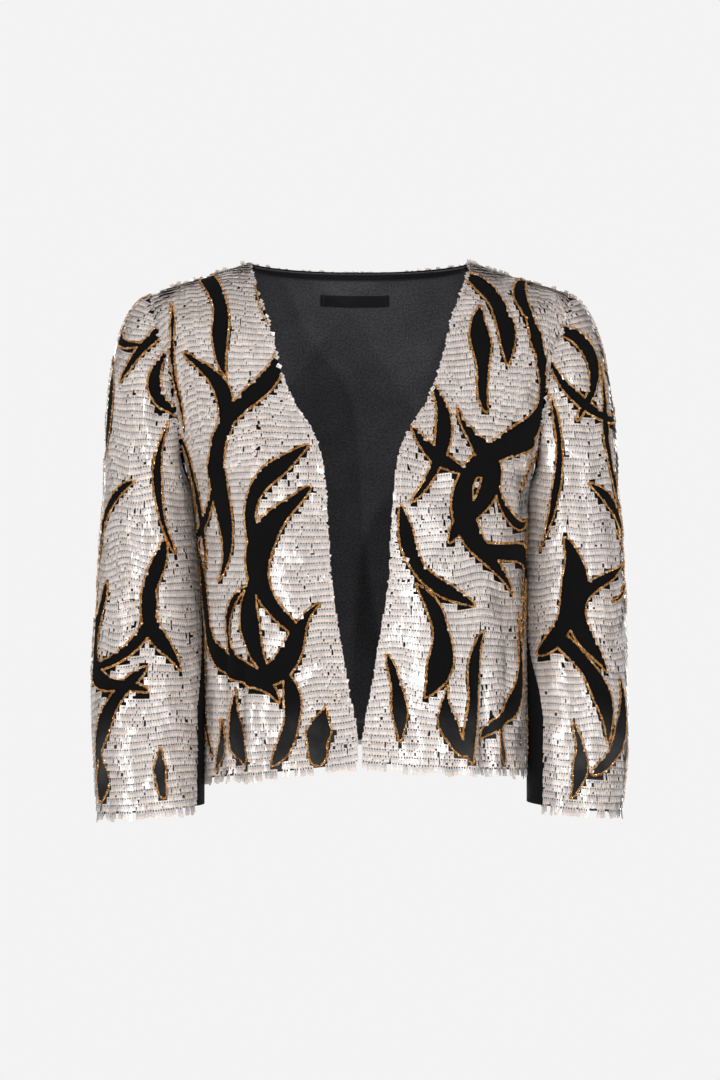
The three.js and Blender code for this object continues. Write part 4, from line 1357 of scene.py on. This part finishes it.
def share_of(name, description, default):
    limits = {"min": 0, "max": 0.5, "subtype": "FACTOR"}
    return FloatProperty(name=name, description=description, default=default, **limits)


def power_of(name, description, default):
    return FloatProperty(name=name, description=description, default=default, min=0, unit="POWER")


class BlazerSequins(bpy.types.PropertyGroup):
    """Sizes and colours of the sequins."""

    row_pitch: length_of("Row pitch", "Distance from one row of sequins to the next", 0.0063, 0.004, 0.012)
    spacing: length_of("Spacing", "Distance from hole to hole along a row", 0.00245, 0.0015, 0.006)
    width: length_of("Width", "Width of a sequin, which lies partly over the next", 0.0039, 0.002, 0.008)
    reach: length_of("Reach", "From a sequin's hole to its tip", 0.0058, 0.003, 0.012)
    thickness: length_of("Thickness", "Thickness of a sequin", 0.00015, 0.0001, 0.0005)
    dropped: share_of("Dropped", "Share of the sequins that are missing", 0.02)
    curled: share_of("Curled", "Share of the sequins that have curled up and show the cloth below", 0.1)
    seed: IntProperty(name="Seed", description="Where the small unevenness starts from", default=7, min=0)
    pearl: colour_of("Pearl", "Colour of a sequin's ends", (0.61, 0.505, 0.435))
    # The middle colour is painted shade and painted reflection.
    pearl_painted_shade: colour_of("Pearl shade", "Colour of a sequin's middle", (0.375, 0.37, 0.378))
    pearl_dark: colour_of("Dull pearl", "Colour that some sequins lean to", (0.2, 0.18, 0.17))
    # Also the colour of the painted shade along each plate's rims.
    hole_and_painted_rim_shade: colour_of("Hole", "Colour seen in the pierced hole and along the rim", (0.006, 0.006, 0.006))


class BlazerChain(bpy.types.PropertyGroup):
    """Sizes and colours of the gold rings."""

    ring_size: length_of("Ring", "Width across a ring", 0.0027, 0.001, 0.006)
    hole_size: length_of("Hole", "Width of a ring's hole", 0.001, 0.0003, 0.003)
    spacing: length_of("Spacing", "Distance from ring to ring", 0.0019, 0.001, 0.006)
    seed: IntProperty(name="Seed", description="Where the small unevenness starts from", default=11, min=0)
    gold: colour_of("Gold", "Colour of most rings", (1.0, 0.57, 0.2))
    # The dark gold is painted shade on some of the rings.
    gold_painted_shade: colour_of("Dark gold", "Colour that some rings lean to", (0.42, 0.15, 0.03))
    # The pale gold is a painted highlight on some of the rings.
    gold_painted_highlight: colour_of("Pale gold", "Colour of the brightest rings", (1.0, 0.86, 0.6))


class BlazerCloths(bpy.types.PropertyGroup):
    """Colours of the plain cloths."""

    black: colour_of("Black", "The cloth under the sequins", (0.0022, 0.0022, 0.0024))
    black_thread: colour_of("Black thread", "The raised threads of the black cloth", (0.006, 0.006, 0.0064))
    sheer: colour_of("Sheer", "What the black cloth turns to near the hem", (0.05, 0.05, 0.051))
    lining: colour_of("Lining", "The back lining", (0.027, 0.027, 0.0297))
    lining_thread: colour_of("Lining thread", "The raised threads of the lining", (0.076, 0.076, 0.082))
    satin: colour_of("Satin", "The neck binding and the label", (0.004, 0.004, 0.0044))
    satin_thread: colour_of("Satin thread", "The raised threads of the satin", (0.0065, 0.0065, 0.007))


class BlazerStage(bpy.types.PropertyGroup):
    """Light and surroundings."""

    backdrop: colour_of("Backdrop", "The pale background and floor", (0.896, 0.896, 0.896))
    fill: FloatProperty(name="Fill", description="Strength of the even light", default=0.6, min=0, max=5)
    key: power_of("Key", "Power of the large soft lights", 8)
    glint: power_of("Glint", "Power of the small bright lights", 14)


class BlazerSettings(bpy.types.PropertyGroup):
    """Everything that can be changed before the pieces are made."""

    sequins: PointerProperty(type=BlazerSequins, name="Sequins")
    chain: PointerProperty(type=BlazerChain, name="Chain")
    cloths: PointerProperty(type=BlazerCloths, name="Cloths")
    stage: PointerProperty(type=BlazerStage, name="Stage")


# Operators


class BLAZER_OT_panels(bpy.types.Operator):
    """Make the five sequinned panels, each with its cloth, its sequins and its gold rings"""

    bl_idname = "blazer.panels"
    bl_label = "Sequinned Panels"

    def execute(self, context):
        look = context.scene.blazer
        cloth = woven_material(
            "Black cloth",
            look.cloths.black,
            look.cloths.black_thread,
            2200.0,
            {"Specular IOR Level": 0.04, "Sheen Weight": 0.01, "Sheen Roughness": 0.5},
            hem={"from": 0.4, "to": 0.475, "colour": look.cloths.sheer},
        )
        pearl, gold = sequin_material(look.sequins), gold_material(look.chain)
        for name in PANELS:
            made = make_cloth(name, cloth)
            covers = [make_sequins(name, look.sequins, pearl), make_chain(name, look.chain, gold)]
            wide, tall, area = sheet_of(name).size()
        return {"FINISHED"}


class BLAZER_OT_under_sleeves(bpy.types.Operator):
    """Make the narrow plain panels on the body's side of the sleeves"""

    bl_idname = "blazer.under_sleeves"
    bl_label = "Under Sleeves"

    def execute(self, context):
        look = context.scene.blazer.cloths
        cloth = woven_material(
            "Plain black cloth",
            look.black,
            look.black_thread,
            1800.0,
            {"Specular IOR Level": 0.06, "Sheen Weight": 0.02, "Sheen Roughness": 0.5},
            strength=0.5,
        )
        for side in SIDES:
            name = f"sleeve_{side}_under"
            sheet = sheet_of(name)
            points, faces, maps = wall(sheet, PLAIN_WALL)
            made = make_piece(f"cloth_{name}", name, points, faces, cloth, maps)
            wide, tall, area = sheet.size()
        return {"FINISHED"}


def inner_part(columns, top, bottom, depth, tall=24):
    """A part of the back's inside between two distances from its top edge, at a depth below its outside."""
    back = sheet_of("back")
    i = np.asarray(columns, float)
    grid_i = np.repeat(i[:, None], tall, axis=1)
    grid_j = np.zeros_like(grid_i)
    for n, column in enumerate(i):
        run = run_of(back.points[int(round(column))])
        low = bottom(column, run[-1]) if callable(bottom) else bottom
        grid_j[n] = np.interp(np.linspace(top, low, tall), run, np.arange(len(run)))
    points, out = back.at(grid_i.ravel(), grid_j.ravel())
    shape = grid_i.shape
    return Sheet((points - out * depth).reshape(*shape, 3), out.reshape(*shape, 3))


def stitches(name, node_name, slot, line, out, material):
    """A row of short raised threads along a line of points."""
    run, length, gap = run_of(line), STITCH[slot], THREAD["gap"]
    places = np.arange(gap, run[-1] - length, length + gap)
    centre = read_along(places, run, line)
    way = unit(read_along(places + 0.5, run, line) - centre)
    up = square_to(way, read_along(places, run, out))
    zero = np.zeros(len(places))
    ways, turns = (np.cross(way, up), way, up), (zero + THREAD["slant"], zero, zero)
    width, thickness = zero + THREAD["width"], THREAD["thickness"]
    corners, faces, place = plates(centre, ways, width, zero, zero + length, thickness, turns)
    return make_piece(name, node_name, corners, faces, material, {"flat": place * MM})


class BLAZER_OT_lining(bpy.types.Operator):
    """Make the back lining, which shows through the open front and stops short of the hem"""

    bl_idname = "blazer.lining"
    bl_label = "Back Lining"

    def execute(self, context):
        look = context.scene.blazer.cloths
        cloth = woven_material(
            "Charcoal lining",
            look.lining,
            look.lining_thread,
            1500.0,
            {"Specular IOR Level": 0.15, "Sheen Weight": 0.03, "Sheen Roughness": 0.4},
            clouds=0.25,
            speckle=0.5,
        )
        columns = np.linspace(0.8, sheet_of("back").wide - 1.8, 101)
        depth = WALL + LAYER_GAP
        sheet = inner_part(columns, LINING_TOP, lambda _column, full: full - LINING_SHORT, depth, 81)
        soft = drift(np.random.default_rng(23), 150)
        run = np.linalg.norm(sheet.points - sheet.points[:, :1], axis=2)
        ease = smooth((run - 55) / 70) * smooth((run.max(axis=1, keepdims=True) - run) / 40)
        ripple = 1.1 + soft(sheet.points[..., 0] * 2.2, sheet.points[..., 2] * 0.5)
        sheet.points = sheet.points - sheet.out * (ease * np.maximum(ripple, 0) * 1.5)[..., None]
        points, faces, maps = wall(sheet, LINING)
        made = make_piece("lining_inside_back", "lining_back", points, faces, cloth, maps)
        wide, tall, area = sheet.size()
        return {"FINISHED"}


class BLAZER_OT_neck(bpy.types.Operator):
    """Make the binding along the inside of the back neckline, and the bare label below it"""

    bl_idname = "blazer.neck"
    bl_label = "Neck Binding and Label"

    def execute(self, context):
        look = context.scene.blazer.cloths
        satin = woven_material(
            "Black satin",
            look.satin,
            look.satin_thread,
            3000.0,
            {"Specular IOR Level": 0.16, "Sheen Weight": 0.05, "Sheen Roughness": 0.35},
        )
        label_cloth = woven_material(
            "Woven label",
            look.satin_thread,
            tuple(min(1.0, c * 1.5) for c in look.satin_thread),
            3600.0,
            {"Specular IOR Level": 0.16, "Sheen Weight": 0.04, "Sheen Roughness": 0.3},
            clouds=0.1,
        )
        shine = {"Specular IOR Level": 0.3}
        thread = woven_material("Black thread", look.satin, look.lining_thread, 9000.0, shine)
        depth = WALL + 2 * LAYER_GAP + LINING
        back = sheet_of("back")
        half = (back.wide - 1) // 2
        neck = int(half * NECK_COLUMNS)
        columns = np.arange(half - neck, half + neck + 1)
        sheet = inner_part(columns, BINDING_TOP, BINDING_WIDTH, depth, 9)
        rounded = 0.35 * np.sin(np.linspace(0, math.pi, sheet.tall))
        sheet.points = sheet.points - sheet.out * rounded[None, :, None]
        points, faces, maps = wall(sheet, BINDING)
        make_piece("binding_of_neck", "neck_binding", points, faces, satin, maps)
        line = sheet.points[:, -2] - sheet.out[:, -2] * BINDING
        stitches("binding_stitches", "neck_binding", "binding", line, -sheet.out[:, -2], thread)

        ends = [LABEL["x"] - LABEL["width"] / 2, LABEL["x"] + LABEL["width"] / 2]
        label_row = 8  # of the back's grid, level with the label nearly enough to find its columns
        columns = np.interp(np.linspace(*ends, 27), back.points[:, label_row, 0], np.arange(back.wide))
        sheet = inner_part(columns, LABEL["drop"], LABEL["drop"] + LABEL["height"], depth, 9)
        across = np.linspace(-1, 1, sheet.wide)[:, None]
        down = np.linspace(-1, 1, sheet.tall)[None]
        # The label lies closest at its stitched ends, and stands a little off the lining between them.
        held = 0.35 * np.maximum(0, np.abs(across) - 0.86) / 0.14
        held = held + 0.25 * across**2 * down - 0.15 * (1 - down**2)
        sheet.points = sheet.points - sheet.out * (0.3 - 0.3 * held)[..., None]
        points, faces, maps = wall(sheet, LABEL_CLOTH)
        label = make_piece("label_of_neck", "label", points, faces, label_cloth, maps)
        wide, tall, area = sheet.size()
        for n, column in enumerate((1, -2)):
            line, out = sheet.points[column] - sheet.out[column] * (LABEL_CLOTH + 0.1), -sheet.out[column]
            stitches(f"label_stitches_{n + 1}", "label", "label", line, out, thread)
        return {"FINISHED"}


class BLAZER_OT_stage(bpy.types.Operator):
    """Make the pale floor, the soft studio light and the camera"""

    bl_idname = "blazer.stage"
    bl_label = "Stage"

    VIEW_DISTANCE = 3.0
    VIEW_HEIGHT = -0.2585
    LENS = 107.5
    FLOOR_Z = -0.99
    FLOOR_RADIUS = 1.15
    FLOOR_SIDES = 96
    FLOOR_TONES = (0.82, 0.8)  # shares of the backdrop's colour
    DIMMED = 0.95  # the even light, of the strength that is set

    def execute(self, context):
        look = context.scene.blazer.stage
        self.floor(look)
        self.world(context.scene, look)
        self.lights(look)
        self.camera(context.scene)
        return {"FINISHED"}

    def floor(self, look):
        count, radius = self.FLOOR_SIDES, self.FLOOR_RADIUS
        angle = np.linspace(0, 2 * math.pi, count, endpoint=False)
        rim = [(radius * math.cos(a), radius * math.sin(a), self.FLOOR_Z) for a in angle]
        mesh = bpy.data.meshes.new("floor")
        mesh.from_pydata(rim, [], [list(range(count))])
        material, tree, shader = new_material("Pale floor", {"Roughness": 0.9, "Specular IOR Level": 0.1})
        tones = [rgba(c * share for c in look.backdrop) for share in self.FLOOR_TONES]
        feed(tree, shader, blend(tree, noise(tree, 3.0, 2.0), *tones))
        mesh.materials.append(material)
        floor = bpy.data.objects.new("floor", mesh)
        bpy.context.scene.collection.objects.link(floor)

    def world(self, scene, look):
        world = bpy.data.worlds.new("Studio")
        world.use_nodes = True
        tree = world.node_tree
        tree.nodes.clear()
        seen = node(tree, "ShaderNodeBackground", {"Color": rgba(look.backdrop), "Strength": 1.0})
        way = node(tree, "ShaderNodeTexCoord").outputs["Generated"]
        front = ramp(tree, split(tree, way)["Y"], -0.9, 0.8, 1.15, 0.78)
        # Soft panels and dark gaps between them, for the gold and the sequins to reflect
        panels = ramp(tree, noise(tree, 2.6, 1.0, way), 0.4, 0.62, 0.12, 2.1)
        strength = maths(tree, "MULTIPLY", front, self.DIMMED * look.fill)
        strength = maths(tree, "MULTIPLY", strength, panels)
        cast = node(tree, "ShaderNodeBackground", {"Color": (1, 1, 1, 1), "Strength": strength})
        path = node(tree, "ShaderNodeLightPath")
        mixed = node(
            tree,
            "ShaderNodeMixShader",
            {0: path.outputs["Is Camera Ray"], 1: cast.outputs[0], 2: seen.outputs[0]},
        )
        node(tree, "ShaderNodeOutputWorld", {"Surface": mixed.outputs[0]})
        scene.world = world
        scene.view_settings.view_transform = "Standard"

    def lights(self, look):
        aim = Vector((0, 0, -0.25))
        for name, place, size, power, colour in (
            ("key_left", (-1.6, -2.3, 0.1), 1.1, look.key, (1, 0.98, 0.96)),
            ("key_right", (1.7, -2.2, -0.05), 1.1, look.key * 0.85, (0.97, 0.98, 1)),
            ("back_right", (-0.75, 2.6, 0.3), 1.3, look.key * 1.8, (1, 1, 1)),
            ("back_left", (0.8, 2.6, 0.1), 1.3, look.key * 1.7, (1, 1, 1)),
            ("glint_low", (-0.35, -2.6, -0.9), 0.1, look.glint, (1, 1, 1)),
            ("glint_high", (0.4, -2.5, 0.75), 0.1, look.glint, (1, 1, 1)),
            ("glint_right", (-1.3, -2.3, -0.2), 0.1, look.glint, (1, 1, 1)),
            ("glint_left", (1.5, -2.2, -0.4), 0.1, look.glint, (1, 1, 1)),
            ("glint_behind", (-0.5, 2.4, 0.1), 0.12, look.glint, (1, 1, 1)),
        ):
            light = bpy.data.lights.new(name, "AREA")
            light.shape = "DISK"
            light.size = size
            light.energy = power
            light.color = colour
            lamp = bpy.data.objects.new(name, light)
            lamp.location = place
            lamp.rotation_euler = (aim - Vector(place)).to_track_quat("-Z", "Y").to_euler()
            bpy.context.scene.collection.objects.link(lamp)

    def camera(self, scene):
        camera = bpy.data.cameras.new("camera")
        camera.sensor_fit = "AUTO"
        camera.sensor_width = 36
        camera.lens = self.LENS
        camera.clip_end = 20
        holder = bpy.data.objects.new("camera", camera)
        holder.location = (0, -self.VIEW_DISTANCE, self.VIEW_HEIGHT)
        holder.rotation_euler = (math.pi / 2, 0, 0)
        scene.collection.objects.link(holder)
        scene.camera = holder


OPERATORS = (
    BLAZER_OT_panels,
    BLAZER_OT_under_sleeves,
    BLAZER_OT_lining,
    BLAZER_OT_neck,
    BLAZER_OT_stage,
)


class BLAZER_PT_pieces(bpy.types.Panel):
    """The pieces of the blazer, in the order that they are made"""

    bl_idname = "BLAZER_PT_pieces"
    bl_label = "Sequin Blazer"
    bl_space_type = "VIEW_3D"
    bl_region_type = "UI"
    bl_category = "Blazer"

    def draw(self, context):
        look = context.scene.blazer
        for group in (look.sequins, look.chain, look.cloths, look.stage):
            box = self.layout.box()
            for name in type(group).__annotations__:
                box.prop(group, name)
        for operator in OPERATORS:
            self.layout.operator(operator.bl_idname)


CLASSES = (
    BlazerSequins,
    BlazerChain,
    BlazerCloths,
    BlazerStage,
    BlazerSettings,
    *OPERATORS,
    BLAZER_PT_pieces,
)


def register():
    for cls in CLASSES:
        bpy.utils.register_class(cls)
    bpy.types.Scene.blazer = PointerProperty(type=BlazerSettings)


def unregister():
    del bpy.types.Scene.blazer
    for cls in reversed(CLASSES):
        bpy.utils.unregister_class(cls)


def main():
    register()
    bpy.ops.blazer.stage()
    bpy.ops.blazer.panels()
    bpy.ops.blazer.under_sleeves()
    bpy.ops.blazer.lining()
    bpy.ops.blazer.neck()


if __name__ == "__main__":
    main()
